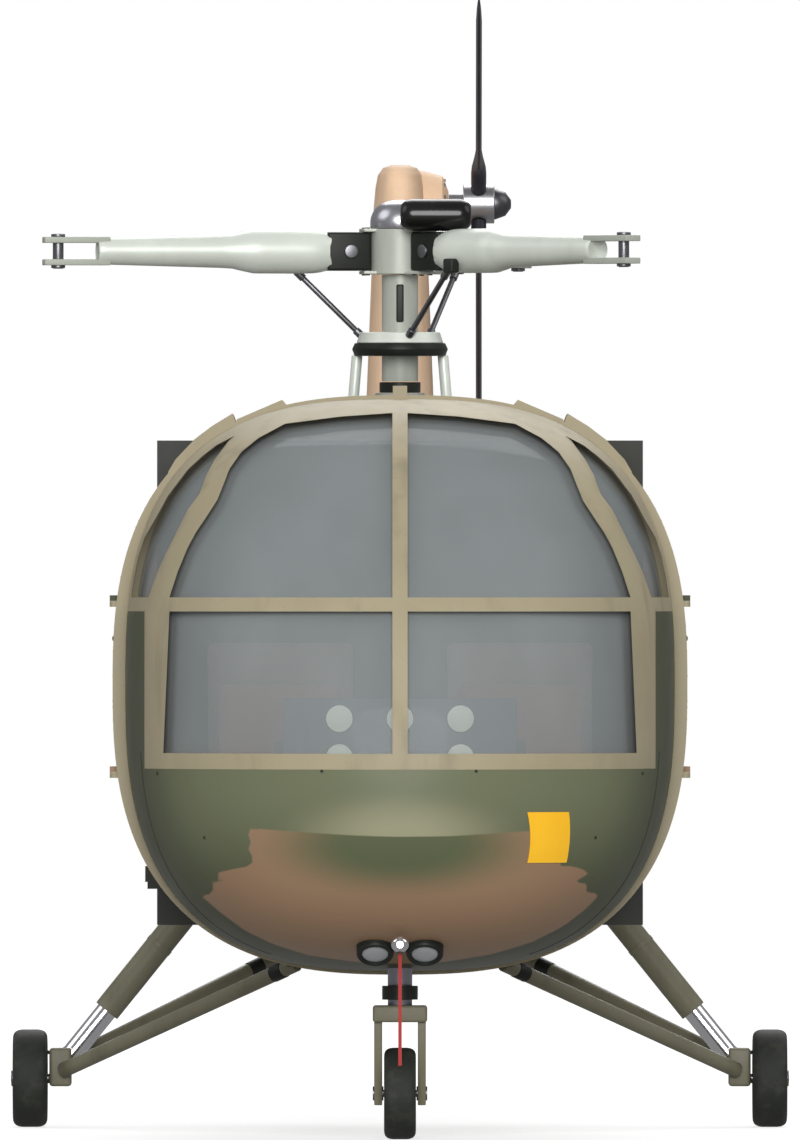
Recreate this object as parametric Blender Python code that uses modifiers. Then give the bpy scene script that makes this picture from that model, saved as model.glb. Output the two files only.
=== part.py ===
"""Light turbine helicopter on its wheeled gear, main blades taken off.

Metres, +Z up, nose towards -Y, the aircraft's port side at +X. The origin is on the ground under the
middle of the box: z = 0 is the wheels' contact plane.
"""
import math

import bmesh
import bpy
from mathutils import Matrix, Vector

# Clearances
SEAT_GAP = 0.0003
DOOR_GAP = 0.006
DOOR_REAR_GAP = 0.013
WELD = 0.00001

SMOOTH_ANGLE = math.radians(35)

# Stations along the aircraft
NOSE_TIP_Y = -5.055
PITOT_TIP_Y = -5.3103
HOOP_Y = -3.85
DOOR_SPLIT_Y = -3.17
BULKHEAD_Y = -2.50
MAST_Y = -2.005
CENTRE_REAR_Y = -0.55
BOOM_END_Y = 4.00
TAIL_ROTOR_Y = 4.365
NOSE_STRUT_Y = -4.25
MAIN_AXLE_Y = -1.285

# Cabin section: a superellipse in each plane across the aircraft
CABIN_CENTRE_Z = 1.561
CABIN_HALF_WIDTH = 0.991
CABIN_HALF_HEIGHT = 0.999
CABIN_POWER = 2.65
CABIN_WALL = 0.035
CABIN_FLANGE_DEPTH = 0.078
CABIN_FLANGE_WIDTH = 0.030
CABIN_AROUND = 48

# Nose bubble, which starts inside the cabin's front hoop
NOSE_HALF_WIDTH = 0.947
NOSE_HALF_HEIGHT = 0.985
NOSE_POWER = 2.8
NOSE_LENGTH_POWER = 2.1
NOSE_TIP_Z = 1.17
NOSE_WALL = 0.030
NOSE_GLASS = 0.006
NOSE_AROUND = 40
NOSE_RINGS = (0.0, 0.22, 0.42, 0.60, 0.75, 0.86, 0.935, 0.98, 1.0)

# Windscreen members, as the front view shows them
CENTRE_POST_HALF = 0.026
BAR_LOW_Z = (1.275, 1.329)
BAR_MID_Z = (1.815, 1.863)
SIDE_POST_X = (0.812, 0.878)
HOOP_RIM = 0.012
AHEAD_Y = -5.4

# Doors
DOOR_LOW_Z = 0.860
DOOR_TOP_Z = 2.260
DOOR_WINDOW_LOW_Z = 1.420
DOOR_WINDOW_TOP_Z = 2.190
DOOR_WINDOW_MARGIN = 0.070
PILLAR_WIDTH = 0.050
DOOR_HINGE_X = 0.992
DOOR_HINGE_Y = HOOP_Y + PILLAR_WIDTH
DOOR_HINGE_RADIUS = 0.009
DOOR_HINGE_LEVELS = (1.250, 1.840)
DOOR_HINGE_HALF = 0.010
DOOR_HANDLE_Z = 1.720
DOOR_HANDLE_X = 0.982
DOOR_HANDLE_RADIUS = 0.015

# Bulkhead and centre section
BULKHEAD_HALF_WIDTH = 0.846
BULKHEAD_Z = (0.721, 2.408)
BULKHEAD_THICK = 0.040
CENTRE_HALF_WIDTH = 0.500
CENTRE_Z = (0.630, 1.860)
CENTRE_BEVEL = 0.050

# Main rotor head
ROTOR_Z = 3.070
ARM_AZIMUTHS = (189.9, 309.9, 69.9)
MAST_RADIUS = 0.0635
MAST_Z = (2.5763, 2.990)
PIN_RADIUS = 1.211
HUB_RADIUS = 0.108
HUB_Z = (2.991, 3.149)
HUB_PLATES_Z = ((-0.080, -0.0678), (0.0678, 0.080))
HUB_LOBE = 0.136
HUB_LOBE_HALF = 0.055
HORN = (0.372, -0.080, -0.052)
LINK_FOOT_RADIUS = 0.140
LINK_FOOT_Z = 2.775

# Tail rotor
TAIL_ROTOR_Z = 3.297
TAIL_BLADE_X = 0.288
TAIL_BLADE_RADIUS = 0.956
TAIL_BLADE_ANGLES = (40.5, 160.5, 280.5)

# Undercarriage
KNUCKLE_X = (1.154, 1.232)
KNUCKLE_HALF = 0.060
KNUCKLE_Z = (0.143, 0.278)
OLEO_LOW = (1.031, 0.408)
OLEO_TOP = (0.470, 1.1055)
OLEO_RADIUS = 0.0475
PISTON_RADIUS = 0.037
PISTON_REACH = 0.240
PISTON_INSIDE = 0.100
TYRE_MAIN_RADIUS = 0.1725
TYRE_MAIN_WIDTH = 0.122
TRACK_HALF = 1.2995
TYRE_NOSE_RADIUS = 0.1585
TYRE_NOSE_WIDTH = 0.110
NOSE_TRAIL = 0.050
WHEEL_SIDES = 28
FLAT_SHARE = math.cos(math.pi / WHEEL_SIDES)
AXLE_MAIN_Z = TYRE_MAIN_RADIUS * FLAT_SHARE
AXLE_NOSE_Z = TYRE_NOSE_RADIUS * FLAT_SHARE

MATERIALS = {
    # name: (red, green, blue, roughness, metallic)
    "skin_beige": (0.39, 0.35, 0.24, 0.55, 0.0),
    "skin_green": (0.10, 0.12, 0.06, 0.50, 0.0),
    "skin_tan": (0.77, 0.55, 0.36, 0.55, 0.0),
    "glass": (0.35, 0.38, 0.38, 0.08, 0.0),
    "dark_panel": (0.06, 0.06, 0.055, 0.70, 0.0),
    "console_grey": (0.21, 0.21, 0.24, 0.60, 0.0),
    "seat_cloth": (0.34, 0.25, 0.22, 0.85, 0.0),
    "black_paint": (0.012, 0.014, 0.012, 0.45, 0.0),
    "steel": (0.42, 0.43, 0.44, 0.35, 1.0),
    "chrome": (0.70, 0.70, 0.72, 0.12, 1.0),
    "light_alloy": (0.55, 0.57, 0.53, 0.40, 0.6),
    "gear_green": (0.13, 0.13, 0.09, 0.50, 0.0),
    "rubber": (0.018, 0.020, 0.012, 0.80, 0.0),
    "blade_black": (0.012, 0.012, 0.020, 0.35, 0.0),
    "red_cloth": (0.50, 0.05, 0.04, 0.80, 0.0),
}


def reset_scene():
    for item in list(bpy.data.objects):
        bpy.data.objects.remove(item, do_unlink=True)


def new_collection(name):
    collection = bpy.data.collections.new(name)
    bpy.context.scene.collection.children.link(collection)
    return collection


def make_material(name):
    red, green, blue, roughness, metallic = MATERIALS[name]
    material = bpy.data.materials.new(name)
    material.use_nodes = True
    shader = material.node_tree.nodes["Principled BSDF"]
    shader.inputs["Base Color"].default_value = (red, green, blue, 1.0)
    shader.inputs["Roughness"].default_value = roughness
    shader.inputs["Metallic"].default_value = metallic
    material.diffuse_color = (red, green, blue, 1.0)
    return material


reset_scene()
PARTS = new_collection("helicopter")
CUTTERS = new_collection("cutters")
PAINT = {name: make_material(name) for name in MATERIALS}


def add_object(name, mesh, material=None, cutter=False):
    """Links a mesh as a part, or as a hidden cutter."""
    item = bpy.data.objects.new(name, mesh)
    (CUTTERS if cutter else PARTS).objects.link(item)
    if cutter:
        item.hide_render = True
        item.display_type = "WIRE"
    if material:
        mesh.materials.append(PAINT[material])
        mesh.shade_smooth()
        mesh.set_sharp_from_angle(angle=SMOOTH_ANGLE)
    return item


def mesh_from(build, split_quads=False):
    """A mesh from a function that fills a bmesh; twisted quads are split the same way in like shapes."""
    mesh = bpy.data.meshes.new("shape")
    shape = bmesh.new()
    build(shape)
    if split_quads:
        quads = [face for face in shape.faces if len(face.verts) == 4]
        bmesh.ops.triangulate(shape, faces=quads, quad_method="FIXED")
    bmesh.ops.recalc_face_normals(shape, faces=shape.faces)
    shape.to_mesh(mesh)
    shape.free()
    return mesh


def box_mesh(low, high):
    """A box between two corners."""
    centre = [(a + b) / 2 for a, b in zip(low, high)]
    size = [b - a for a, b in zip(low, high)]

    def build(shape):
        bmesh.ops.create_cube(shape, size=1.0)
        bmesh.ops.scale(shape, vec=size, verts=shape.verts)
        bmesh.ops.translate(shape, vec=centre, verts=shape.verts)

    return mesh_from(build)


def rounded(item, width):
    """Rounds an object's edges."""
    bevel = item.modifiers.new("round", "BEVEL")
    bevel.width = width
    bevel.segments = 2
    bevel.limit_method = "NONE"
    return item


def ball_mesh(centre, radius, sides=10):
    def build(shape):
        bmesh.ops.create_uvsphere(shape, u_segments=sides, v_segments=sides // 2, radius=radius)
        bmesh.ops.translate(shape, vec=centre, verts=shape.verts)

    return mesh_from(build)


def evaluated_mesh(item):
    """The mesh that an object's modifiers or curve settings give; the object is removed."""
    bpy.context.view_layer.update()
    graph = bpy.context.evaluated_depsgraph_get()
    mesh = bpy.data.meshes.new_from_object(item.evaluated_get(graph))
    bpy.data.objects.remove(item)
    return mesh


def tidied(mesh):
    """The mesh with its seams welded and its faces pointing out."""
    shape = bmesh.new()
    shape.from_mesh(mesh)
    bmesh.ops.remove_doubles(shape, verts=shape.verts, dist=WELD)
    bmesh.ops.recalc_face_normals(shape, faces=shape.faces)
    shape.to_mesh(mesh)
    shape.free()
    return mesh


def turned_mesh(profile, place, sides=24, ring=False):
    """A turned solid: profile is (radius, height); a ring's profile is closed and stays off the axis."""
    points = [(radius, 0.0, height) for radius, height in reversed(profile)]
    edges = [(index, index + 1) for index in range(len(points) - 1)]
    if ring:
        edges.append((len(points) - 1, 0))
    line = bpy.data.meshes.new("profile")
    line.from_pydata(points, edges, [])
    item = add_object("turned", line, cutter=True)
    screw = item.modifiers.new("turn", "SCREW")
    screw.axis = "Z"
    screw.angle = 2 * math.pi
    screw.steps = sides
    screw.render_steps = sides
    screw.use_merge_vertices = True
    screw.merge_threshold = WELD
    mesh = tidied(evaluated_mesh(item))
    mesh.transform(place)
    return mesh


def tube_mesh(points, radius, sides=20):
    """A round tube with closed ends along a line of points, from a curve with a bevel."""
    curve = bpy.data.curves.new("line", "CURVE")
    curve.dimensions = "3D"
    curve.bevel_depth = radius
    curve.bevel_resolution = sides // 2 - 2
    curve.use_fill_caps = True
    spline = curve.splines.new("POLY")
    spline.points.add(len(points) - 1)
    for point, place in zip(spline.points, points):
        point.co = (place[0], place[1], place[2], 1.0)
    item = bpy.data.objects.new("line", curve)
    CUTTERS.objects.link(item)
    mesh = tidied(evaluated_mesh(item))
    bpy.data.curves.remove(curve)
    return mesh


def rod_mesh(start, end, radius, sides=20):
    """A straight rod between two points."""
    return tube_mesh((start, end), radius, sides)


def loft_rings(shape, rings, closed=False):
    """Skins rings of vertices, capping the open ends; a ring of one vertex is a pole."""
    pairs = list(zip(rings, rings[1:]))
    if closed:
        pairs.append((rings[-1], rings[0]))
    for first, second in pairs:
        count = max(len(first), len(second))
        for step in range(count):
            after = (step + 1) % count
            corners = []
            for vertex in (
                first[step % len(first)],
                first[after % len(first)],
                second[after % len(second)],
                second[step % len(second)],
            ):
                if vertex not in corners:
                    corners.append(vertex)
            shape.faces.new(corners)
    if not closed:
        for ring in (rings[0], rings[-1]):
            if len(ring) > 2:
                shape.faces.new(ring)


TO_AXIS = {
    # how a flat outline's own plane turns to stand across each axis
    "X": Matrix(((0, 0, 1, 0), (1, 0, 0, 0), (0, 1, 0, 0), (0, 0, 0, 1))),
    "Y": Matrix(((1, 0, 0, 0), (0, 0, -1, 0), (0, 1, 0, 0), (0, 0, 0, 1))),
    "Z": Matrix.Identity(4),
}


def prism_mesh(outline, axis, low, high):
    """A prism: outline is in the plane across the axis, as (x, z) for Y, (y, z) for X, (x, y) for Z."""
    curve = bpy.data.curves.new("outline", "CURVE")
    curve.dimensions = "2D"
    curve.fill_mode = "BOTH"
    curve.extrude = (high - low) / 2
    spline = curve.splines.new("POLY")
    spline.points.add(len(outline) - 1)
    for point, (first, second) in zip(spline.points, outline):
        point.co = (first, second, 0.0, 1.0)
    spline.use_cyclic_u = True
    item = bpy.data.objects.new("outline", curve)
    CUTTERS.objects.link(item)
    mesh = tidied(evaluated_mesh(item))
    bpy.data.curves.remove(curve)
    middle = Vector([(low + high) / 2 if name == axis else 0.0 for name in "XYZ"])
    mesh.transform(Matrix.Translation(middle) @ TO_AXIS[axis])
    return mesh


def rounded_outline(low, high, radius, steps=4):
    """A rectangle with round corners, as a list of points."""
    points = []
    corners = (
        (high[0] - radius, high[1] - radius, 0),
        (low[0] + radius, high[1] - radius, 90),
        (low[0] + radius, low[1] + radius, 180),
        (high[0] - radius, low[1] + radius, 270),
    )
    for x, y, start in corners:
        for step in range(steps + 1):
            angle = math.radians(start + 90 * step / steps)
            points.append((x + radius * math.cos(angle), y + radius * math.sin(angle)))
    return points


def boolean(item, tool, operation):
    modifier = item.modifiers.new(operation.lower(), "BOOLEAN")
    modifier.operation = operation
    modifier.solver = "EXACT"
    modifier.object = tool
    return item


def cut(item, mesh):
    return boolean(item, add_object(f"cut_{item.name}", mesh, cutter=True), "DIFFERENCE")


def keep(item, mesh):
    return boolean(item, add_object(f"keep_{item.name}", mesh, cutter=True), "INTERSECT")


def join(item, mesh):
    return boolean(item, add_object(f"join_{item.name}", mesh, cutter=True), "UNION")


def signed_power(value, power):
    return math.copysign(abs(value) ** power, value)


def cabin_point(angle, inset=0.0):
    """A point (x, z) on the cabin's outline, moved inward by inset."""
    power = 2.0 / CABIN_POWER
    cosine, sine = math.cos(angle), math.sin(angle)
    x = CABIN_HALF_WIDTH * signed_power(cosine, power)
    z = CABIN_HALF_HEIGHT * signed_power(sine, power)
    normal = Vector(
        (
            signed_power(x / CABIN_HALF_WIDTH, CABIN_POWER - 1) / CABIN_HALF_WIDTH,
            signed_power(z / CABIN_HALF_HEIGHT, CABIN_POWER - 1) / CABIN_HALF_HEIGHT,
        )
    ).normalized()
    return x - normal.x * inset, CABIN_CENTRE_Z + z - normal.y * inset


def cabin_side_x(z, inset=0.0):
    """Half-width of the cabin's outline at a height, less inset."""
    share = abs(z - CABIN_CENTRE_Z) / (CABIN_HALF_HEIGHT - inset)
    return (CABIN_HALF_WIDTH - inset) * max(0.0, 1 - share**CABIN_POWER) ** (1 / CABIN_POWER)


def ring_angles(count):
    return [2 * math.pi * (step + 0.5) / count for step in range(count)]


def cabin_ring_mesh(profile):
    """A closed ring around the cabin: profile is a loop of (inset, y)."""

    def build(shape):
        rings = []
        for inset, y in profile:
            ring = []
            for angle in ring_angles(CABIN_AROUND):
                x, z = cabin_point(angle, inset)
                ring.append(shape.verts.new((x, y, z)))
            rings.append(ring)
        loft_rings(shape, rings, closed=True)

    return mesh_from(build)


def nose_point(ring, angle):
    """A point on the nose bubble: ring runs from 0 at the tip to 1 at the hoop."""
    power = 2.0 / NOSE_POWER
    centre = NOSE_TIP_Z + (CABIN_CENTRE_Z - NOSE_TIP_Z) * ring**2
    x = NOSE_HALF_WIDTH * ring * signed_power(math.cos(angle), power)
    z = centre + NOSE_HALF_HEIGHT * ring * signed_power(math.sin(angle), power)
    depth = 1 - (1 - ring**NOSE_LENGTH_POWER) ** (1 / NOSE_LENGTH_POWER)
    return Vector((x, NOSE_TIP_Y + (HOOP_Y - NOSE_TIP_Y) * depth, z))


def nose_normal(ring, angle):
    """Outward normal of the nose bubble, by small steps."""
    if ring < 0.01:
        return Vector((0, -1, 0))
    if ring > 0.9999:
        radial = nose_point(1.0, angle + 0.001) - nose_point(1.0, angle - 0.001)
        return Vector((radial.z, 0, -radial.x)).normalized()
    around = nose_point(ring, angle + 0.001) - nose_point(ring, angle - 0.001)
    outward = nose_point(min(ring + 0.001, 1.0), angle) - nose_point(ring - 0.001, angle)
    return outward.cross(around).normalized()


def nose_shell_mesh(outer, inner):
    """The nose bubble as a shell between two insets, open at the hoop."""

    def surface(shape, inset, y_shift):
        rings = []
        for ring in NOSE_RINGS:
            row = []
            for angle in ring_angles(NOSE_AROUND) if ring else [0.0]:
                point = nose_point(ring, angle) - nose_normal(ring, angle) * inset
                point.y = min(point.y, HOOP_Y - y_shift)
                row.append(shape.verts.new(point))
            rings.append(row)
        return rings

    def build(shape):
        loft_rings(shape, surface(shape, outer, SEAT_GAP) + surface(shape, inner, SEAT_GAP)[::-1])

    return mesh_from(build, split_quads=True)


def mirrored(outline):
    return [(-x, z) for x, z in reversed(outline)]


def screen_area(gap):
    """Front outline of the beige windscreen frame, grown by gap."""
    low, mid = BAR_LOW_Z[0] - gap, BAR_MID_Z[0] - gap
    side, wide, top = SIDE_POST_X[1] + gap, 1.2, 2.8
    right = [(side, low), (side, mid), (wide, mid), (wide, top)]
    return right + mirrored(right)


def upper_pane():
    """Front outline of the port upper windscreen pane."""
    return [
        (CENTRE_POST_HALF, BAR_MID_Z[1]),
        (0.791, BAR_MID_Z[1]),
        (0.763, 1.950),
        (0.729, 2.033),
        (0.701, 2.085),
        (0.666, 2.137),
        (0.628, 2.196),
        (0.611, 2.238),
        (0.586, 2.304),
        (0.545, 2.363),
        (0.486, 2.411),
        (0.396, 2.460),
        (0.200, 2.485),
        (CENTRE_POST_HALF, 2.497),
    ]


def lower_pane():
    """Front outline of the port lower windscreen pane."""
    return [
        (CENTRE_POST_HALF, BAR_LOW_Z[1]),
        (SIDE_POST_X[0], BAR_LOW_Z[1]),
        (0.791, BAR_MID_Z[0]),
        (CENTRE_POST_HALF, BAR_MID_Z[0]),
    ]


def quarter_pane():
    """Front outline of the port window between the side post and the door hoop."""
    return [
        (0.864, BAR_MID_Z[1]),
        (0.925, BAR_MID_Z[1]),
        (0.915, 1.935),
        (0.900, 2.005),
        (0.880, 2.068),
        (0.843, 2.130),
        (0.798, 2.213),
        (0.729, 2.304),
        (0.680, 2.349),
        (0.631, 2.387),
        (0.570, 2.418),
        (0.590, 2.401),
        (0.638, 2.335),
        (0.666, 2.283),
        (0.690, 2.217),
        (0.729, 2.165),
        (0.777, 2.068),
        (0.805, 2.012),
        (0.833, 1.950),
    ]


def make_nose():
    skin = add_object("nose_shell", nose_shell_mesh(0.0, NOSE_WALL), "skin_green")
    cut(skin, prism_mesh(screen_area(SEAT_GAP), "Y", AHEAD_Y, HOOP_Y + 0.25))
    strut_hole = rod_mesh((0, NOSE_STRUT_Y, 0.30), (0, NOSE_STRUT_Y, 0.90), STRUT_RADIUS + SEAT_GAP)
    cut(skin, strut_hole)
    for side in (-1, 1):
        cut(skin, lamp_mesh(side, SEAT_GAP))
    cut(skin, pitot_mesh(SEAT_GAP))

    frame = add_object("windscreen_frame", nose_shell_mesh(0.0, NOSE_WALL), "skin_beige")
    keep(frame, prism_mesh(screen_area(0.0), "Y", AHEAD_Y, HOOP_Y + 0.25))
    for outline in (upper_pane(), lower_pane(), quarter_pane()):
        cut(frame, prism_mesh(outline, "Y", AHEAD_Y, HOOP_Y - HOOP_RIM))
        cut(frame, prism_mesh(mirrored(outline), "Y", AHEAD_Y, HOOP_Y - HOOP_RIM))

    glass_outer = NOSE_WALL + SEAT_GAP
    panes = (
        # name, lowest z, highest z, half-width
        ("windscreen_glass_upper", BAR_MID_Z[0] + 0.024, 2.8, 1.2),
        ("windscreen_glass_lower", BAR_LOW_Z[0] + 0.025, BAR_MID_Z[0] + 0.0235, SIDE_POST_X[1] - 0.02),
    )
    for name, low, high, half in panes:
        glass = add_object(name, nose_shell_mesh(glass_outer, glass_outer + NOSE_GLASS), "glass")
        keep(glass, box_mesh((-half, AHEAD_Y, low), (half, HOOP_Y + 0.25, high)))


STRUT_RADIUS = 0.042
LAMP_FACE = (0.085, -4.745, 0.636)
LAMP_RADIUS = 0.064
LAMP_DEPTH = 0.100
LAMP_TILT = math.radians(52.4)
PITOT_Z = 0.680
PITOT_RADIUS = 0.012
PITOT_BALL_Y = -4.890
PITOT_BALL_RADIUS = 0.032
PITOT_NOZZLE_Z = 0.646
STREAMER_Z = (0.262, 0.6457)
STREAMER_HALF = 0.006
STREAMER_THICK = 0.0016


def lamp_mesh(side, grow=0.0):
    """A landing lamp's drum, tilted down and forward, grown for its hole in the skin."""
    front = Vector((side * LAMP_FACE[0], LAMP_FACE[1], LAMP_FACE[2]))
    inward = Vector((0.0, math.cos(LAMP_TILT), math.sin(LAMP_TILT)))
    return rod_mesh(front, front + inward * (LAMP_DEPTH + grow), LAMP_RADIUS + grow, sides=20)


def pitot_mesh(grow=0.0):
    return rod_mesh((0, PITOT_TIP_Y, PITOT_Z), (0, -4.42, PITOT_Z), PITOT_RADIUS + grow, sides=12)


def door_opening(front, rear, gap_front, gap_rear, gap_z, radius=0.10):
    low = (front + gap_front, DOOR_LOW_Z + gap_z)
    high = (rear - gap_rear, DOOR_TOP_Z - gap_z)
    return rounded_outline(low, high, radius)


FRONT_DOOR_SPAN = (HOOP_Y + PILLAR_WIDTH - 0.003, DOOR_SPLIT_Y - PILLAR_WIDTH / 2)
REAR_DOOR_SPAN = (DOOR_SPLIT_Y + PILLAR_WIDTH / 2, BULKHEAD_Y - PILLAR_WIDTH)


def side_range(side):
    return (0.60, 1.20) if side > 0 else (-1.20, -0.60)


ROOF_RAILS = (
    # x, z of each rail's outline, port side, along the edge of the roof
    ((0.395, 2.505), (0.395, 2.531), (0.406, 2.544), (0.562, 2.477), (0.575, 2.440)),
    (
        (0.560, 2.450),
        (0.578, 2.4965),
        (0.649, 2.453),
        (0.708, 2.408),
        (0.774, 2.338),
        (0.800, 2.294),
        (0.788, 2.284),
        (0.700, 2.368),
        (0.640, 2.410),
    ),
)
POST_END = ((-0.0245, HOOP_Y + 0.001, 2.530), (0.0245, HOOP_Y + 0.070, 2.592))


def make_cabin_shell():
    flange, wall = CABIN_FLANGE_DEPTH, CABIN_WALL
    front, rear = HOOP_Y, BULKHEAD_Y
    profile = (
        (0.0, front),
        (0.0, rear),
        (flange, rear),
        (flange, rear - CABIN_FLANGE_WIDTH),
        (wall, rear - CABIN_FLANGE_WIDTH),
        (wall, front + CABIN_FLANGE_WIDTH),
        (flange, front + CABIN_FLANGE_WIDTH),
        (flange, front),
    )
    shell = add_object("cabin_shell", cabin_ring_mesh(profile), "skin_beige")
    for rail in ROOF_RAILS:
        join(shell, prism_mesh(rail, "Y", front + 0.002, rear - 0.020))
        join(shell, prism_mesh(mirrored(rail), "Y", front + 0.002, rear - 0.020))
    join(shell, box_mesh(*POST_END))
    for side in (-1, 1):
        low, high = side_range(side)
        for span in (FRONT_DOOR_SPAN, REAR_DOOR_SPAN):
            cut(shell, prism_mesh(door_opening(*span, 0, 0, 0), "X", low, high))
        for level in DOOR_HINGE_LEVELS:
            join(shell, hinge_mesh(side, level, fixed=True))


def hinge_mesh(side, level, fixed):
    """One leaf of a door hinge: a strap that ends in half a knuckle; the fixed leaf is the lower one."""
    middle = DOOR_HINGE_Y
    inner_x = cabin_side_x(level) - 0.012
    first_angle = -90 if fixed else 0
    knuckle = []
    for step in range(4):
        angle = math.radians(first_angle + 30 * step)
        reach = DOOR_HINGE_X + DOOR_HINGE_RADIUS * math.cos(angle)
        knuckle.append((side * reach, middle + DOOR_HINGE_RADIUS * math.sin(angle)))
    if fixed:
        low, high = level - DOOR_HINGE_HALF, level + DOOR_HINGE_HALF
        near, far = (side * inner_x, middle - 0.030), (side * DOOR_HINGE_X, middle - 0.030)
        outline = [near, far] + knuckle + [(side * inner_x, middle)]
    else:
        low, high = level + DOOR_HINGE_HALF + SEAT_GAP, level + DOOR_HINGE_HALF * 3
        far, near = (side * DOOR_HINGE_X, middle + 0.045), (side * inner_x, middle + 0.045)
        outline = [(side * inner_x, middle)] + knuckle + [far, near]
    return prism_mesh(outline, "Z", low, high)


def door_window(span):
    low = (span[0] + DOOR_WINDOW_MARGIN, DOOR_WINDOW_LOW_Z)
    high = (span[1] - DOOR_WINDOW_MARGIN, DOOR_WINDOW_TOP_Z)
    return low, high


def make_door(name, side, span, gaps):
    """A curved door panel with its window cut and its pane fitted in it."""
    low_x, high_x = side_range(side)
    wall = cabin_ring_mesh(
        ((0.0, HOOP_Y), (0.0, BULKHEAD_Y), (CABIN_WALL, BULKHEAD_Y), (CABIN_WALL, HOOP_Y))
    )
    label = "left" if side > 0 else "right"
    door = add_object(f"{name}_{label}", wall, "skin_beige")
    keep(door, prism_mesh(door_opening(*span, *gaps), "X", low_x, high_x))
    low, high = door_window(span)
    cut(door, prism_mesh(rounded_outline(low, high, 0.07), "X", low_x, high_x))

    pane = cabin_ring_mesh(((0.014, HOOP_Y), (0.014, BULKHEAD_Y), (0.020, BULKHEAD_Y), (0.020, HOOP_Y)))
    glass = add_object(f"{name}_glass_{label}", pane, "glass")
    inner_low = (low[0] + SEAT_GAP, low[1] + SEAT_GAP)
    inner_high = (high[0] - SEAT_GAP, high[1] - SEAT_GAP)
    keep(glass, prism_mesh(rounded_outline(inner_low, inner_high, 0.07), "X", low_x, high_x))
    return door


def make_doors():
    for side in (-1, 1):
        door = make_door("front_door", side, FRONT_DOOR_SPAN, (DOOR_GAP, DOOR_REAR_GAP, DOOR_GAP))
        for level in DOOR_HINGE_LEVELS:
            join(door, hinge_mesh(side, level, fixed=False))
        handle_y = FRONT_DOOR_SPAN[1] - DOOR_REAR_GAP - 0.035
        join(door, ball_mesh((side * DOOR_HANDLE_X, handle_y, DOOR_HANDLE_Z), DOOR_HANDLE_RADIUS, sides=12))
        make_door("rear_door", side, REAR_DOOR_SPAN, (SEAT_GAP, SEAT_GAP, SEAT_GAP))


def make_bulkhead():
    outline = [cabin_point(angle, 0.002) for angle in ring_angles(CABIN_AROUND)]
    back = BULKHEAD_Y + BULKHEAD_THICK
    disc = prism_mesh(outline, "Y", BULKHEAD_Y + 0.010, back - 0.010)
    wall = add_object("cabin_bulkhead", disc, "dark_panel")
    low = (-BULKHEAD_HALF_WIDTH, BULKHEAD_Y + SEAT_GAP, BULKHEAD_Z[0])
    high = (BULKHEAD_HALF_WIDTH, back, BULKHEAD_Z[1])
    join(wall, box_mesh(low, high))
    for outer_x, low_z, high_z in EDGE_BOX:
        join(wall, box_mesh((outer_x, BULKHEAD_Y + 0.005, low_z), (-0.830, BULKHEAD_Y + 0.035, high_z)))


# Stepped fuse box on the bulkhead's starboard edge: outer x, lowest z, highest z
EDGE_BOX = (
    (-0.8875, 0.8706, 0.926),
    (-0.8795, 0.8465, 0.880),
)

FLOOR_Z = (0.780, 0.805)
FLOOR_HALF_WIDTH = 0.600
BEAM_X = (0.300, 0.340)


def make_floor():
    """The cabin floor on its two keel beams, which stand on the belly."""
    front, rear = -4.62, BULKHEAD_Y - CABIN_FLANGE_WIDTH - 0.004
    outline = [
        (-0.34, front),
        (0.34, front),
        (0.52, front + 0.20),
        (FLOOR_HALF_WIDTH, HOOP_Y - 0.30),
        (FLOOR_HALF_WIDTH, rear),
        (-FLOOR_HALF_WIDTH, rear),
        (-FLOOR_HALF_WIDTH, HOOP_Y - 0.30),
        (-0.52, front + 0.20),
    ]
    floor = add_object("cabin_floor", prism_mesh(outline, "Z", *FLOOR_Z), "dark_panel")
    beam_z = belly_z(BEAM_X[1]) + SEAT_GAP
    for side in (-1, 1):
        near, far = sorted((side * BEAM_X[0], side * BEAM_X[1]))
        low = (near, HOOP_Y + CABIN_FLANGE_WIDTH + 0.004, beam_z)
        join(floor, box_mesh(low, (far, rear - 0.002, FLOOR_Z[0] + 0.01)))


def belly_z(x):
    """Height of the belly's inner face at x, on the flats between the ring's points."""
    ring = [cabin_point(angle, CABIN_WALL) for angle in ring_angles(CABIN_AROUND)]
    points = sorted(point for point in ring if point[1] < 1)
    for (x0, z0), (x1, z1) in zip(points, points[1:]):
        if x0 <= x <= x1:
            return z0 + (z1 - z0) * (x - x0) / (x1 - x0)
    return CABIN_CENTRE_Z


def seat_mesh(low_x, high_x, front, back, seat_z, top_z):
    """A seat in side view, as one solid: cushion, back and plinth."""
    outline = [
        (front, FLOOR_Z[1] + SEAT_GAP),
        (back - 0.02, FLOOR_Z[1] + SEAT_GAP),
        (back, seat_z),
        (back + 0.09, top_z),
        (back - 0.02, top_z),
        (back - 0.12, seat_z),
        (front - 0.02, seat_z),
        (front - 0.02, seat_z - 0.13),
    ]
    return prism_mesh(outline, "X", low_x, high_x)


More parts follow.
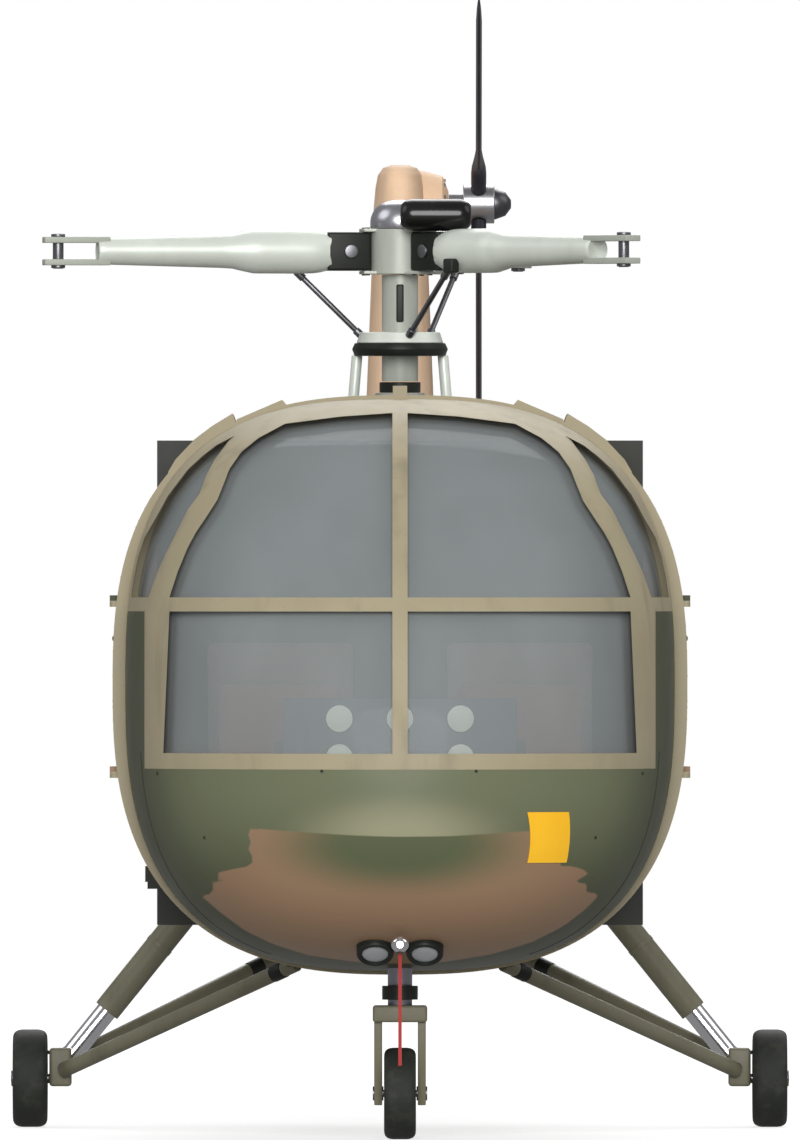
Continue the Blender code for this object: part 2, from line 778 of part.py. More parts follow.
def make_interior():
    seats = (
        # name, inner x, outer x, front y, back y, seat z, top z
        ("front_seat", 0.195, 0.637, -3.95, -3.47, 1.150, 1.562),
        ("rear_seat", 0.155, 0.678, -3.05, -2.64, 1.180, 1.708),
    )
    for name, inner, outer, front, back, seat_z, top_z in seats:
        for side, label in ((-1, "right"), (1, "left")):
            low, high = sorted((side * inner, side * outer))
            add_object(f"{name}_{label}", seat_mesh(low, high, front, back, seat_z, top_z), "seat_cloth")
    outline = [
        (-4.50, FLOOR_Z[1] + SEAT_GAP),
        (-4.20, FLOOR_Z[1] + SEAT_GAP),
        (-4.17, 1.367),
        (-4.20, 1.500),
        (-4.22, CONSOLE_TOP_Z),
        (CONSOLE_FACE_Y + 0.016, CONSOLE_TOP_Z),
        (CONSOLE_FACE_Y, CONSOLE_TOP_Z - 0.016),
        (CONSOLE_FACE_Y, 1.200),
        (-4.50, 1.050),
    ]
    console = add_object("instrument_console", prism_mesh(outline, "X", -0.401, 0.401), "console_grey")
    join(console, box_mesh((-0.432, CONSOLE_FACE_Y + 0.030, 1.250), (0.432, -4.300, 1.367)))
    for x, z in DIALS:
        face = CONSOLE_FACE_Y - 0.008
        join(console, rod_mesh((x, face, z), (x, CONSOLE_FACE_Y + 0.010, z), DIAL_RADIUS, sides=20))


CONSOLE_FACE_Y = -4.440
CONSOLE_TOP_Z = 1.516
DIAL_RADIUS = 0.0465
DIALS = (
    # x, z
    (-0.208, 1.447),
    (0.0, 1.447),
    (0.208, 1.447),
    (-0.208, 1.3135),
    (0.208, 1.3135),
)

# Engine on top of the centre section, with its jet pipe aft
ENGINE_Z = 2.130
ENGINE_LENGTH = 1.18
ENGINE_MOUNTS_Y = (-1.50, -0.95)
EXHAUST_LENGTH = 0.42
EXHAUST_RADIUS = 0.165
EXHAUST_WALL = 0.015

# Saddles under the centre section that carry the gear tubes
GEAR_PIVOTS = (
    # x, y, z of the tube's end, tube radius, saddle width
    (0.362, -2.140, 0.582, 0.027, 0.070),
    (0.440, -0.812, 0.590, 0.026, 0.070),
)
GEAR_FEET = (
    # x, distance behind the axle, z
    (1.183, -0.072, 0.200),
    (1.170, 0.070, 0.232),
)


def side_point(side, x, y, z):
    return Vector((side * x, y, z))


def gear_tubes(side):
    """The two tubes of a main leg, each as foot, top and radius."""
    tubes = []
    for (top_x, top_y, top_z, radius, reach), (x, behind, z) in zip(GEAR_PIVOTS, GEAR_FEET):
        foot = side_point(side, x, MAIN_AXLE_Y + behind, z)
        tubes.append((foot, side_point(side, top_x, top_y, top_z), radius))
    return tubes


def make_centre_section():
    low = (-CENTRE_HALF_WIDTH, BULKHEAD_Y + BULKHEAD_THICK + SEAT_GAP, CENTRE_Z[0])
    high = (CENTRE_HALF_WIDTH, CENTRE_REAR_Y, CENTRE_Z[1])
    section = rounded(add_object("centre_section", box_mesh(low, high), "skin_green"), CENTRE_BEVEL)
    for side in (-1, 1):
        for x, y, z, radius, reach in GEAR_PIVOTS:
            near, far = sorted((side * (x - reach / 2), side * (x + reach / 2)))
            low, high = (near, y - reach / 2, z - 0.010), (far, y + reach / 2, CENTRE_Z[0] + 0.020)
            saddle = box_mesh(low, high)
            join(section, saddle)
        for start, end, radius in gear_tubes(side):
            beyond = end + (end - start).normalized() * SEAT_GAP
            cut(section, rod_mesh(start, beyond, radius + SEAT_GAP, sides=16))

    gearbox = (
        # radius, z
        (0.0, CENTRE_Z[1] + SEAT_GAP),
        (0.285, CENTRE_Z[1] + SEAT_GAP),
        (0.285, 1.940),
        (0.235, 1.960),
        (0.235, 2.470),
        (0.125, 2.470),
        (0.085, 2.576),
        (0.0, 2.576),
    )
    add_object("main_gearbox", turned_mesh(gearbox, Matrix.Translation((0, MAST_Y, 0))), "steel")

    lying = Matrix.Rotation(math.radians(-90), 4, "X")
    engine = (
        # radius, distance aft of the gearbox
        (0.0, 0.0),
        (0.110, 0.0),
        (0.200, 0.10),
        (0.200, 0.30),
        (0.265, 0.36),
        (0.265, 0.88),
        (0.190, 1.00),
        (0.190, ENGINE_LENGTH),
        (0.0, ENGINE_LENGTH),
    )
    engine_y = MAST_Y + 0.235 + SEAT_GAP
    place = Matrix.Translation((0, engine_y, ENGINE_Z)) @ lying
    engine_node = add_object("engine", turned_mesh(engine, place), "steel")
    for mount_y in ENGINE_MOUNTS_Y:
        low = (-0.17, mount_y, CENTRE_Z[1] + SEAT_GAP)
        join(engine_node, box_mesh(low, (0.17, mount_y + 0.05, ENGINE_Z - 0.08)))

    pipe_y = engine_y + ENGINE_LENGTH + SEAT_GAP
    end_y = pipe_y + EXHAUST_LENGTH
    tube = rod_mesh((0, pipe_y, ENGINE_Z), (0, end_y, ENGINE_Z), EXHAUST_RADIUS, sides=24)
    pipe = add_object("exhaust_pipe", tube, "steel")
    bore = EXHAUST_RADIUS - EXHAUST_WALL
    cut(pipe, rod_mesh((0, pipe_y + 0.02, ENGINE_Z), (0, end_y + 0.18, ENGINE_Z), bore, sides=24))


def boom_section(y, wall):
    """Half-width, half-height and centre of the tail boom at a station."""
    share = (y - CENTRE_REAR_Y) / (BOOM_END_Y - CENTRE_REAR_Y)
    half_width = 0.340 + (0.120 - 0.340) * share - wall
    half_height = 0.400 + (0.170 - 0.400) * share - wall
    centre = 1.340 + (2.050 - 1.340) * share
    return half_width, half_height, centre


def boom_mesh(front, rear, wall, sides=20):
    def build(shape):
        rings = []
        for step in range(5):
            y = front + (rear - front) * step / 4
            half_width, half_height, centre = boom_section(y, wall)
            ring = []
            for angle in ring_angles(sides):
                x = half_width * signed_power(math.cos(angle), 0.80)
                z = centre + half_height * signed_power(math.sin(angle), 0.80)
                ring.append(shape.verts.new((x, y, z)))
            rings.append(ring)
        loft_rings(shape, rings)

    return mesh_from(build, split_quads=True)


# Tail pylon sections: height, front edge, rear edge, half-thickness
PYLON_SECTIONS = (
    (1.860, 3.420, 4.620, 0.060),
    (2.000, 3.500, 4.640, 0.110),
    (2.260, 3.700, 4.660, 0.124),
    (2.594, 3.900, 4.680, 0.1225),
    (2.832, 4.000, 4.690, 0.113),
    (3.048, 4.060, 4.695, 0.1045),
    (3.276, 4.090, 4.690, 0.097),
    (3.360, 4.105, 4.675, 0.0895),
    (3.403, 4.125, 4.650, 0.081),
    (3.429, 4.160, 4.610, 0.062),
    (3.438, 4.210, 4.560, 0.035),
)


def pylon_mesh(wall=0.0, lowest=0):
    """The tail pylon as a loft of streamlined sections."""

    def build(shape):
        rings = []
        for level, (z, front, rear, half) in enumerate(PYLON_SECTIONS[lowest:]):
            middle, reach = (front + rear) / 2, (rear - front) / 2 - wall
            ring = []
            for angle in ring_angles(20):
                y = middle + reach * signed_power(math.cos(angle), 0.85)
                x = (half - wall) * signed_power(math.sin(angle), 0.80)
                ring.append(shape.verts.new((x, y, z)))
            rings.append(ring)
        loft_rings(shape, rings)

    return mesh_from(build, split_quads=True)


# Bent tube that keeps the tail off the ground: y, z
TAIL_GUARD = (
    (3.900, 1.950),
    (4.100, 1.700),
    (4.320, 1.520),
    (4.560, 1.430),
    (4.800, 1.430),
    (4.960, 1.490),
)
TAIL_GUARD_RADIUS = 0.018


def make_tail():
    boom_front = CENTRE_REAR_Y + SEAT_GAP
    boom = add_object("tail_boom", boom_mesh(boom_front, BOOM_END_Y, 0.0), "skin_green")
    cut(boom, boom_mesh(boom_front - 0.01, BOOM_END_Y - 0.60, 0.018))
    cut(boom, pylon_mesh(-SEAT_GAP))

    pylon = add_object("tail_pylon", pylon_mesh(), "skin_tan")
    gearbox = (
        # radius, x
        (0.0, 0.02),
        (0.126, 0.02),
        (0.120, 0.09),
        (0.103, 0.154),
        (0.045, 0.178),
        (0.0, 0.178),
    )
    sideways = Matrix.Rotation(math.radians(90), 4, "Y")
    place = Matrix.Translation((0, TAIL_ROTOR_Y, TAIL_ROTOR_Z)) @ sideways
    join(pylon, turned_mesh(gearbox, place, sides=20))
    join(pylon, tube_mesh([(0, y, z) for y, z in TAIL_GUARD], TAIL_GUARD_RADIUS, sides=12))

    for side, label in ((-1, "right"), (1, "left")):
        inner = boom_section(3.0, 0.0)[0]
        outline = rounded_outline((2.74, 1.872), (3.16, 1.908), 0.016, 3)
        low, high = sorted((side * (inner + 0.004), side * 0.800))
        plane = add_object(f"tailplane_{label}", prism_mesh(outline, "X", low, high), "skin_tan")
        fin = rounded_outline((2.66, 1.640), (3.22, 2.170), 0.10, 3)
        low, high = sorted((side * 0.790, side * 0.815))
        join(plane, prism_mesh(fin, "X", low, high))
        cut(plane, boom_mesh(2.5, 3.5, -SEAT_GAP))


def make_tail_rotor():
    sideways = Matrix.Rotation(math.radians(90), 4, "Y")
    place = Matrix.Translation((0, TAIL_ROTOR_Y, TAIL_ROTOR_Z)) @ sideways
    hub = (
        # radius, x
        (0.0, 0.178 + SEAT_GAP),
        (0.041, 0.178 + SEAT_GAP),
        (0.041, 0.231),
        (0.071, 0.231),
        (0.071, 0.346),
        (0.057, 0.346),
        (0.043, 0.386),
        (0.015, 0.407),
        (0.0, 0.407),
    )
    add_object("tail_rotor_hub", turned_mesh(hub, place, sides=20), "steel")
    blade = (
        # radius, half-thickness, half-chord
        (0.055, 0.028, 0.034),
        (0.150, 0.028, 0.034),
        (0.236, 0.011, 0.075),
        (0.864, 0.011, 0.075),
        (0.935, 0.006, 0.055),
        (TAIL_BLADE_RADIUS, 0.004, 0.030),
    )
    for number, angle in enumerate(TAIL_BLADE_ANGLES, 1):
        turn = Matrix.Rotation(math.radians(angle), 4, "X")
        shift = Matrix.Translation((TAIL_BLADE_X, TAIL_ROTOR_Y, TAIL_ROTOR_Z)) @ turn

        def build(shape):
            rings = []
            for radius, thick, chord in blade:
                ring = []
                for step in range(12):
                    around = 2 * math.pi * (step + 0.5) / 12
                    point = Vector((thick * math.cos(around), chord * math.sin(around), radius))
                    ring.append(shape.verts.new(shift @ point))
                rings.append(ring)
            loft_rings(shape, rings)

        tail_blade = add_object(f"tail_blade_{number}", mesh_from(build), "blade_black")
        grown = [(0.0, 0.20), (0.071 + SEAT_GAP, 0.20), (0.071 + SEAT_GAP, 0.37), (0.0, 0.37)]
        cut(tail_blade, turned_mesh(grown, place, sides=20))


def arm_place(azimuth):
    """Frame of one rotor arm: local X runs out along the arm, local Z is up."""
    turn = Matrix.Rotation(math.radians(azimuth), 4, "Z")
    return Matrix.Translation((0, MAST_Y, ROTOR_Z)) @ turn


def star_outline(reach, half):
    """Outline of a plate with one square lobe for each rotor arm."""
    outline = []
    for azimuth in sorted(azimuth % 360 for azimuth in ARM_AZIMUTHS):
        turn = Matrix.Rotation(math.radians(azimuth), 2)
        for point in ((reach, -half), (reach, half)):
            outline.append(tuple(turn @ Vector(point)))
        valley = math.radians(azimuth + 60)
        depth = half / math.sin(math.radians(60))
        outline.append((depth * math.cos(valley), depth * math.sin(valley)))
    return outline


def moved(mesh, place):
    mesh.transform(place)
    return mesh


def make_rotor_head():
    on_mast = Matrix.Translation((0, MAST_Y, 0))
    mast = (
        # radius, z
        (0.0, MAST_Z[0]),
        (0.072, MAST_Z[0]),
        (0.072, 2.614),
        (MAST_RADIUS, 2.616),
        (MAST_RADIUS, MAST_Z[1] - SEAT_GAP),
        (0.0, MAST_Z[1] - SEAT_GAP),
    )
    shaft = add_object("rotor_mast", turned_mesh(mast, on_mast), "light_alloy")
    join(shaft, box_mesh((-0.013, MAST_Y - MAST_RADIUS - 0.006, 2.823), (0.013, MAST_Y - 0.050, 2.955)))

    drum = rod_mesh((0, MAST_Y, HUB_Z[0]), (0, MAST_Y, HUB_Z[1]), HUB_RADIUS, sides=24)
    hub = add_object("rotor_hub", drum, "steel")
    level = Matrix.Translation((0, MAST_Y, ROTOR_Z))
    for low, high in HUB_PLATES_Z:
        join(hub, moved(prism_mesh(star_outline(HUB_LOBE, HUB_LOBE_HALF), "Z", low, high), level))

    sleeve = (
        # radius, distance out along the arm
        (0.0, 0.250),
        (0.0673, 0.250),
        (0.0775, 0.309),
        (0.0775, 0.521),
        (0.0605, 0.596),
        (0.0465, 1.072),
        (0.0, 1.072),
    )
    outward = Matrix.Rotation(math.radians(90), 4, "Y")
    for number, azimuth in enumerate(ARM_AZIMUTHS, 1):
        place = arm_place(azimuth)
        body = turned_mesh(sleeve, place @ outward, sides=16)
        arm = add_object(f"blade_arm_{number}", body, "light_alloy")
        join(arm, moved(box_mesh((0.1085, -0.0465, -0.0675), (0.2590, 0.0465, 0.0675)), place))
        join(arm, moved(rod_mesh((0.181, -0.0645, 0), (0.181, 0.0645, 0), 0.024, sides=12), place))
        for low, high in ((-0.049, -0.029), (0.029, 0.049)):
            join(arm, moved(box_mesh((1.030, -0.0335, low), (1.263, 0.0335, high)), place))
        join(arm, moved(rod_mesh((PIN_RADIUS, 0, -0.062), (PIN_RADIUS, 0, 0.061), 0.019, sides=12), place))
        join(arm, moved(ball_mesh(HORN, 0.0255, sides=8), place))

    dome = (
        # radius, z
        (0.0, 3.150 + SEAT_GAP),
        (0.104, 3.150 + SEAT_GAP),
        (0.104, 3.175),
        (0.096, 3.205),
        (0.074, 3.232),
        (0.040, 3.247),
        (0.0, 3.251),
    )
    add_object("hub_dome", turned_mesh(dome, on_mast), "steel")

    canister = (
        # radius, x
        (0.0, 0.001),
        (0.026, 0.001),
        (0.056, 0.045),
        (0.056, 0.205),
        (0.026, 0.249),
        (0.0, 0.249),
    )
    canister_y = MAST_Y - 0.176
    sideways = Matrix.Translation((0, canister_y, 3.196)) @ outward
    can = add_object("hub_canister", turned_mesh(canister, sideways, sides=20), "black_paint")
    join(can, box_mesh((0.030, canister_y, 3.150 + SEAT_GAP), (0.075, MAST_Y - 0.106, 3.190)))


def link_ends(azimuth):
    """Lower end on the swashplate and upper end at the arm's horn."""
    low = math.radians(azimuth - 26.8)
    reach = LINK_FOOT_RADIUS
    foot = Vector((reach * math.cos(low), MAST_Y + reach * math.sin(low), LINK_FOOT_Z))
    return foot, arm_place(azimuth) @ Vector(HORN)


def make_swashplate():
    on_mast = Matrix.Translation((0, MAST_Y, 0))
    lower = (
        # radius, z
        (0.0, 2.705),
        (0.158, 2.705),
        (0.167, 2.728),
        (0.158, 2.750),
        (0.0, 2.750),
    )
    plate = add_object("swashplate_lower", turned_mesh(lower, on_mast, sides=24), "black_paint")
    for side in (-1, 1):
        top = (side * 0.150, MAST_Y, 2.722)
        join(plate, rod_mesh(top, (side * 0.170, MAST_Y, 2.472), 0.019, sides=12))
    cut(plate, rod_mesh((0, MAST_Y, 2.60), (0, MAST_Y, 2.80), MAST_RADIUS + 0.004, sides=24))

    upper = (
        # radius, z
        (0.0, 2.7503),
        (0.151, 2.7503),
        (0.139, 2.788),
        (0.0, 2.788),
    )
    ring = add_object("swashplate_upper", turned_mesh(upper, on_mast, sides=24), "chrome")
    for azimuth in ARM_AZIMUTHS:
        foot, horn = link_ends(azimuth)
        top = foot + (horn - foot) * (1 - 0.0262 / (horn - foot).length)
        join(ring, rod_mesh(foot, top, 0.0165, sides=10))
    cut(ring, rod_mesh((0, MAST_Y, 2.60), (0, MAST_Y, 2.80), MAST_RADIUS + SEAT_GAP, sides=24))


def tyre_profile(radius, width, bead):
    half = width / 2
    return (
        # radius, offset across the wheel
        (bead, half * 0.72),
        (radius * 0.78, half),
        (radius * 0.92, half * 0.94),
        (radius, half * 0.50),
        (radius, -half * 0.50),
        (radius * 0.92, -half * 0.94),
        (radius * 0.78, -half),
        (bead, -half * 0.72),
    )


def make_wheel(name, centre, radius, width, bead, bore):
    """A tyre and its rim, with a bore for the axle along X; a flat of each stands on the ground."""
    half_step = Matrix.Rotation(math.pi / WHEEL_SIDES, 4, "Z")
    sideways = Matrix.Translation(centre) @ Matrix.Rotation(math.radians(90), 4, "Y") @ half_step
    tyre = turned_mesh(tyre_profile(radius, width, bead), sideways, WHEEL_SIDES, ring=True)
    add_object(f"{name}_tyre", tyre, "rubber")
    half = width / 2
    rim = (
        # radius, offset
        (bore, half * 0.55),
        (bead * 0.88, half * 0.30),
        (bead - SEAT_GAP, half * 0.66),
        (bead - SEAT_GAP, -half * 0.66),
        (bead * 0.88, -half * 0.30),
        (bore, -half * 0.55),
    )
    add_object(f"{name}_rim", turned_mesh(rim, sideways, WHEEL_SIDES, ring=True), "gear_green")


def make_nose_gear():
    axis_y = NOSE_STRUT_Y
    strut = (
        # radius, z
        (0.0, 0.461 + SEAT_GAP),
        (STRUT_RADIUS, 0.461 + SEAT_GAP),
        (STRUT_RADIUS, 0.480),
        (0.0615, 0.482),
        (0.0615, 0.526),
        (STRUT_RADIUS, 0.528),
        (STRUT_RADIUS, FLOOR_Z[0] - SEAT_GAP),
        (0.0, FLOOR_Z[0] - SEAT_GAP),
    )
    add_object("nose_strut", turned_mesh(strut, Matrix.Translation((0, axis_y, 0)), sides=20), "steel")

    axle_y = axis_y + NOSE_TRAIL
    crown = box_mesh((-0.094, axis_y - 0.050, 0.403), (0.094, axis_y + 0.075, 0.461))
    fork = rounded(add_object("nose_fork", crown, "gear_green"), 0.008)
    for side in (-1, 1):
        low, high = sorted((side * 0.061, side * 0.089))
        outline = [
            (axis_y - 0.030, 0.410),
            (axis_y + 0.060, 0.410),
            (axle_y + 0.030, 0.117),
            (axle_y - 0.030, 0.117),
        ]
        join(fork, prism_mesh(outline, "X", low, high))
    join(fork, rod_mesh((-0.094, axle_y, AXLE_NOSE_Z), (0.094, axle_y, AXLE_NOSE_Z), 0.0125, sides=16))
    make_wheel("nose", (0, axle_y, AXLE_NOSE_Z), TYRE_NOSE_RADIUS, TYRE_NOSE_WIDTH, 0.085, 0.0128)


def make_main_gear():
    for side, label in ((-1, "right"), (1, "left")):
        low, high = sorted((side * KNUCKLE_X[0], side * KNUCKLE_X[1]))
        front, back = MAIN_AXLE_Y - KNUCKLE_HALF, MAIN_AXLE_Y + KNUCKLE_HALF
        knuckle = box_mesh((low, front, KNUCKLE_Z[0]), (high, back, KNUCKLE_Z[1]))
        leg = rounded(add_object(f"gear_leg_{label}", knuckle, "gear_green"), 0.012)
        for start, end, radius in gear_tubes(side):
            join(leg, rod_mesh(start, end, radius, sides=16))
        axle_in = side_point(side, 1.200, MAIN_AXLE_Y, AXLE_MAIN_Z)
        axle_out = side_point(side, 1.3675, MAIN_AXLE_Y, AXLE_MAIN_Z)
        join(leg, rod_mesh(axle_in, axle_out, 0.016, sides=16))
        nut_in = side_point(side, 1.341, MAIN_AXLE_Y, AXLE_MAIN_Z)
        nut_out = side_point(side, 1.3665, MAIN_AXLE_Y, AXLE_MAIN_Z)
        join(leg, rod_mesh(nut_in, nut_out, 0.0295, sides=12))

        lower = side_point(side, OLEO_LOW[0], MAIN_AXLE_Y, OLEO_LOW[1])
        top = side_point(side, OLEO_TOP[0], MAIN_AXLE_Y, OLEO_TOP[1])
        axis = (top - lower).normalized()
        foot, head = lower - axis * PISTON_REACH, lower + axis * PISTON_INSIDE
        piston = add_object(f"oleo_piston_{label}", rod_mesh(foot, head, PISTON_RADIUS), "chrome")
        cylinder = add_object(f"oleo_cylinder_{label}", rod_mesh(lower, top, OLEO_RADIUS), "gear_green")
        bore_end = head + axis * SEAT_GAP
        cut(cylinder, rod_mesh(lower - axis * 0.05, bore_end, PISTON_RADIUS + SEAT_GAP))
        cut(piston, knuckle_space(side))
        inner = CENTRE_HALF_WIDTH + SEAT_GAP
        cut(cylinder, box_mesh((-inner, MAIN_AXLE_Y - 0.2, 0.70), (inner, MAIN_AXLE_Y + 0.2, 1.60)))
        centre = (side * TRACK_HALF, MAIN_AXLE_Y, AXLE_MAIN_Z)
        make_wheel(f"main_{label}", centre, TYRE_MAIN_RADIUS, TYRE_MAIN_WIDTH, 0.092, 0.0163)


def knuckle_space(side):
    """The space the knuckle takes, which trims the piston's foot."""
    low, high = sorted((side * (KNUCKLE_X[0] - SEAT_GAP), side * 1.30))
    return box_mesh((low, MAIN_AXLE_Y - 0.10, 0.05), (high, MAIN_AXLE_Y + 0.10, KNUCKLE_Z[1] + SEAT_GAP))


def make_lamps_and_pitot():
    for side, label in ((-1, "right"), (1, "left")):
        add_object(f"landing_lamp_{label}", lamp_mesh(side), "black_paint")
    pitot = add_object("pitot_probe", pitot_mesh(), "chrome")
    join(pitot, ball_mesh((0, PITOT_BALL_Y, PITOT_Z), PITOT_BALL_RADIUS))
    join(pitot, rod_mesh((0, PITOT_BALL_Y, PITOT_NOZZLE_Z), (0, PITOT_BALL_Y, PITOT_Z), 0.009, sides=12))
    half = STREAMER_THICK / 2
    low = (-STREAMER_HALF, PITOT_BALL_Y - half, STREAMER_Z[0])
    high = (STREAMER_HALF, PITOT_BALL_Y + half, STREAMER_Z[1])
    add_object("streamer", box_mesh(low, high), "red_cloth")


make_nose()
make_cabin_shell()
make_doors()
make_bulkhead()
make_floor()
make_interior()
make_centre_section()
make_tail()
make_tail_rotor()
make_rotor_head()
make_swashplate()
make_nose_gear()
make_main_gear()
make_lamps_and_pitot()

ROTOR_CENTRE = (0.0, MAST_Y, ROTOR_Z)
TAIL_CENTRE = (TAIL_BLADE_X, TAIL_ROTOR_Y, TAIL_ROTOR_Z)
NOSE_WHEEL_CENTRE = (0.0, NOSE_STRUT_Y + NOSE_TRAIL, AXLE_NOSE_Z)
PIVOTS = (
    # point on the joint's axis, nodes that turn about it
    (ROTOR_CENTRE, ("rotor_mast", "rotor_hub", "blade_arm_1", "blade_arm_2", "blade_arm_3")),
    (ROTOR_CENTRE, ("hub_dome", "hub_canister", "swashplate_upper")),
    (TAIL_CENTRE, ("tail_rotor_hub", "tail_blade_1", "tail_blade_2", "tail_blade_3")),
    ((DOOR_HINGE_X, DOOR_HINGE_Y, 1.545), ("front_door_left", "front_door_glass_left")),
    ((-DOOR_HINGE_X, DOOR_HINGE_Y, 1.545), ("front_door_right", "front_door_glass_right")),
    ((0.0, NOSE_STRUT_Y, 0.43), ("nose_fork",)),
    (NOSE_WHEEL_CENTRE, ("nose_tyre", "nose_rim")),
    ((TRACK_HALF, MAIN_AXLE_Y, AXLE_MAIN_Z), ("main_left_tyre", "main_left_rim")),
    ((-TRACK_HALF, MAIN_AXLE_Y, AXLE_MAIN_Z), ("main_right_tyre", "main_right_rim")),
)
for pivot, nodes in PIVOTS:
    for node in nodes:
        moving = bpy.data.objects[node]
        moving.data.transform(Matrix.Translation(-Vector(pivot)))
        moving.location = pivot
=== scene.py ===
"""Looks of a light turbine helicopter that stands on its wheels, main blades taken off.

Metres, +Z up, nose towards -Y, the aircraft's port side at +X.
"""

import math

import bmesh
import bpy
from mathutils import Matrix, Vector


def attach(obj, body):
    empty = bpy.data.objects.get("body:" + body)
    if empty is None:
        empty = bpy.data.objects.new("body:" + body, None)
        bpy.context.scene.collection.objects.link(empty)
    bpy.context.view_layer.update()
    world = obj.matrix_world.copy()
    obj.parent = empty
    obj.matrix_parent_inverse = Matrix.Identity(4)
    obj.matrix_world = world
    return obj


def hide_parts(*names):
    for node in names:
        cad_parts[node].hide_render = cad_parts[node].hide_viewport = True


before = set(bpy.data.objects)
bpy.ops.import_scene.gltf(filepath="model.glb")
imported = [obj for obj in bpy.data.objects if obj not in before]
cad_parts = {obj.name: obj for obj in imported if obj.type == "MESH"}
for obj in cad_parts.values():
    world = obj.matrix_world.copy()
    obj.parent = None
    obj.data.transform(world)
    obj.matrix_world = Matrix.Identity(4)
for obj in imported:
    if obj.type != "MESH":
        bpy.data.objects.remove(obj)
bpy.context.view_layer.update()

# Photograph: 800 x 1140 pixels, seen level from the front and without perspective
PIXEL = 0.0034693
PHOTO_CENTRE_X = 400
GROUND_ROW = 1134
CAMERA_Z = 1.957
CAMERA_Y = -135.5
CAMERA_LENS = 1206.07

# Stations along the aircraft
NOSE_TIP_Y = -5.055
HOOP_Y = -3.85
DOOR_SPLIT_Y = -3.17
BULKHEAD_Y = -2.50
MAST_Y = -2.005
CENTRE_REAR_Y = -0.55
BOOM_END_Y = 4.00
TAIL_ROTOR_Y = 4.365
NOSE_STRUT_Y = -4.25
MAIN_AXLE_Y = -1.285

# Cabin section
CABIN_CENTRE_Z = 1.561
CABIN_HALF_WIDTH = 0.991
CABIN_HALF_HEIGHT = 0.999
CABIN_POWER = 2.65
CABIN_WALL = 0.035

# Nose bubble
NOSE_HALF_WIDTH = 0.947
NOSE_HALF_HEIGHT = 0.985
NOSE_POWER = 2.8
NOSE_LENGTH_POWER = 2.1
NOSE_TIP_Z = 1.17
NOSE_WALL = 0.030
NOSE_GLASS = 0.006

# Windscreen members
CENTRE_POST_HALF = 0.026
BAR_LOW_Z = (1.275, 1.329)
BAR_MID_Z = (1.815, 1.863)
SIDE_POST_X = (0.812, 0.878)

# Main rotor head
ROTOR_Z = 3.070
ARM_AZIMUTHS = (189.9, 309.9, 69.9)

# Wheels
WHEELS = (
    # name, body, centre, radius, width, bead radius
    ("nose", "nose_wheel", (0.0, -4.20, 0.1575), 0.1585, 0.110, 0.085),
    ("main_left", "main_wheel_left", (1.2995, -1.285, 0.1714), 0.1725, 0.122, 0.092),
    ("main_right", "main_wheel_right", (-1.2995, -1.285, 0.1714), 0.1725, 0.122, 0.092),
)


def from_photo(column, row):
    """X and Z of a photo pixel, for things near the nose."""
    return (column - PHOTO_CENTRE_X) * PIXEL, (GROUND_ROW - row) * PIXEL


# Mesh tools


def mesh_from(build, name="shape"):
    mesh = bpy.data.meshes.new(name)
    shape = bmesh.new()
    build(shape)
    bmesh.ops.recalc_face_normals(shape, faces=shape.faces)
    shape.to_mesh(mesh)
    shape.free()
    return mesh


def skin_rings(shape, rings, closed=False, capped=True):
    """Faces between rings of vertices; a ring of one vertex is a pole."""
    pairs = list(zip(rings, rings[1:]))
    if closed:
        pairs.append((rings[-1], rings[0]))
    for first, second in pairs:
        count = max(len(first), len(second))
        for step in range(count):
            after = (step + 1) % count
            corners = []
            for vertex in (
                first[step % len(first)],
                first[after % len(first)],
                second[after % len(second)],
                second[step % len(second)],
            ):
                if vertex not in corners:
                    corners.append(vertex)
            shape.faces.new(corners)
    if capped and not closed:
        for ring in (rings[0], rings[-1]):
            if len(ring) > 2:
                shape.faces.new(ring)


def box_mesh(low, high, bevel=0.0, segments=3):
    centre = [(a + b) / 2 for a, b in zip(low, high)]
    size = [b - a for a, b in zip(low, high)]

    def build(shape):
        bmesh.ops.create_cube(shape, size=1.0)
        bmesh.ops.scale(shape, vec=size, verts=shape.verts)
        if bevel:
            bmesh.ops.bevel(
                shape, geom=shape.edges[:], offset=bevel, segments=segments, affect="EDGES", profile=0.5
            )
        bmesh.ops.translate(shape, vec=centre, verts=shape.verts)

    return mesh_from(build)


def rod_mesh(start, end, radius, end_radius=None, sides=40, bevel=0.0):
    """A cylinder or cone between two points, with rounded rims where bevel is set."""
    start, end = Vector(start), Vector(end)
    along = end - start
    end_radius = radius if end_radius is None else end_radius

    def build(shape):
        bmesh.ops.create_cone(
            shape, cap_ends=True, segments=sides, radius1=radius, radius2=end_radius, depth=along.length
        )
        if bevel:
            caps = [face for face in shape.faces if len(face.verts) > 4 or abs(face.normal.z) > 0.9]
            rims = list({edge for face in caps for edge in face.edges})
            bmesh.ops.bevel(shape, geom=rims, offset=bevel, segments=3, affect="EDGES", profile=0.5)
        turn = Vector((0, 0, 1)).rotation_difference(along).to_matrix().to_4x4()
        bmesh.ops.transform(shape, matrix=Matrix.Translation((start + end) / 2) @ turn, verts=shape.verts)

    return mesh_from(build)


def ball_mesh(centre, radius, sides=32):
    def build(shape):
        bmesh.ops.create_uvsphere(shape, u_segments=sides, v_segments=sides // 2, radius=radius)
        bmesh.ops.translate(shape, vec=centre, verts=shape.verts)

    return mesh_from(build)


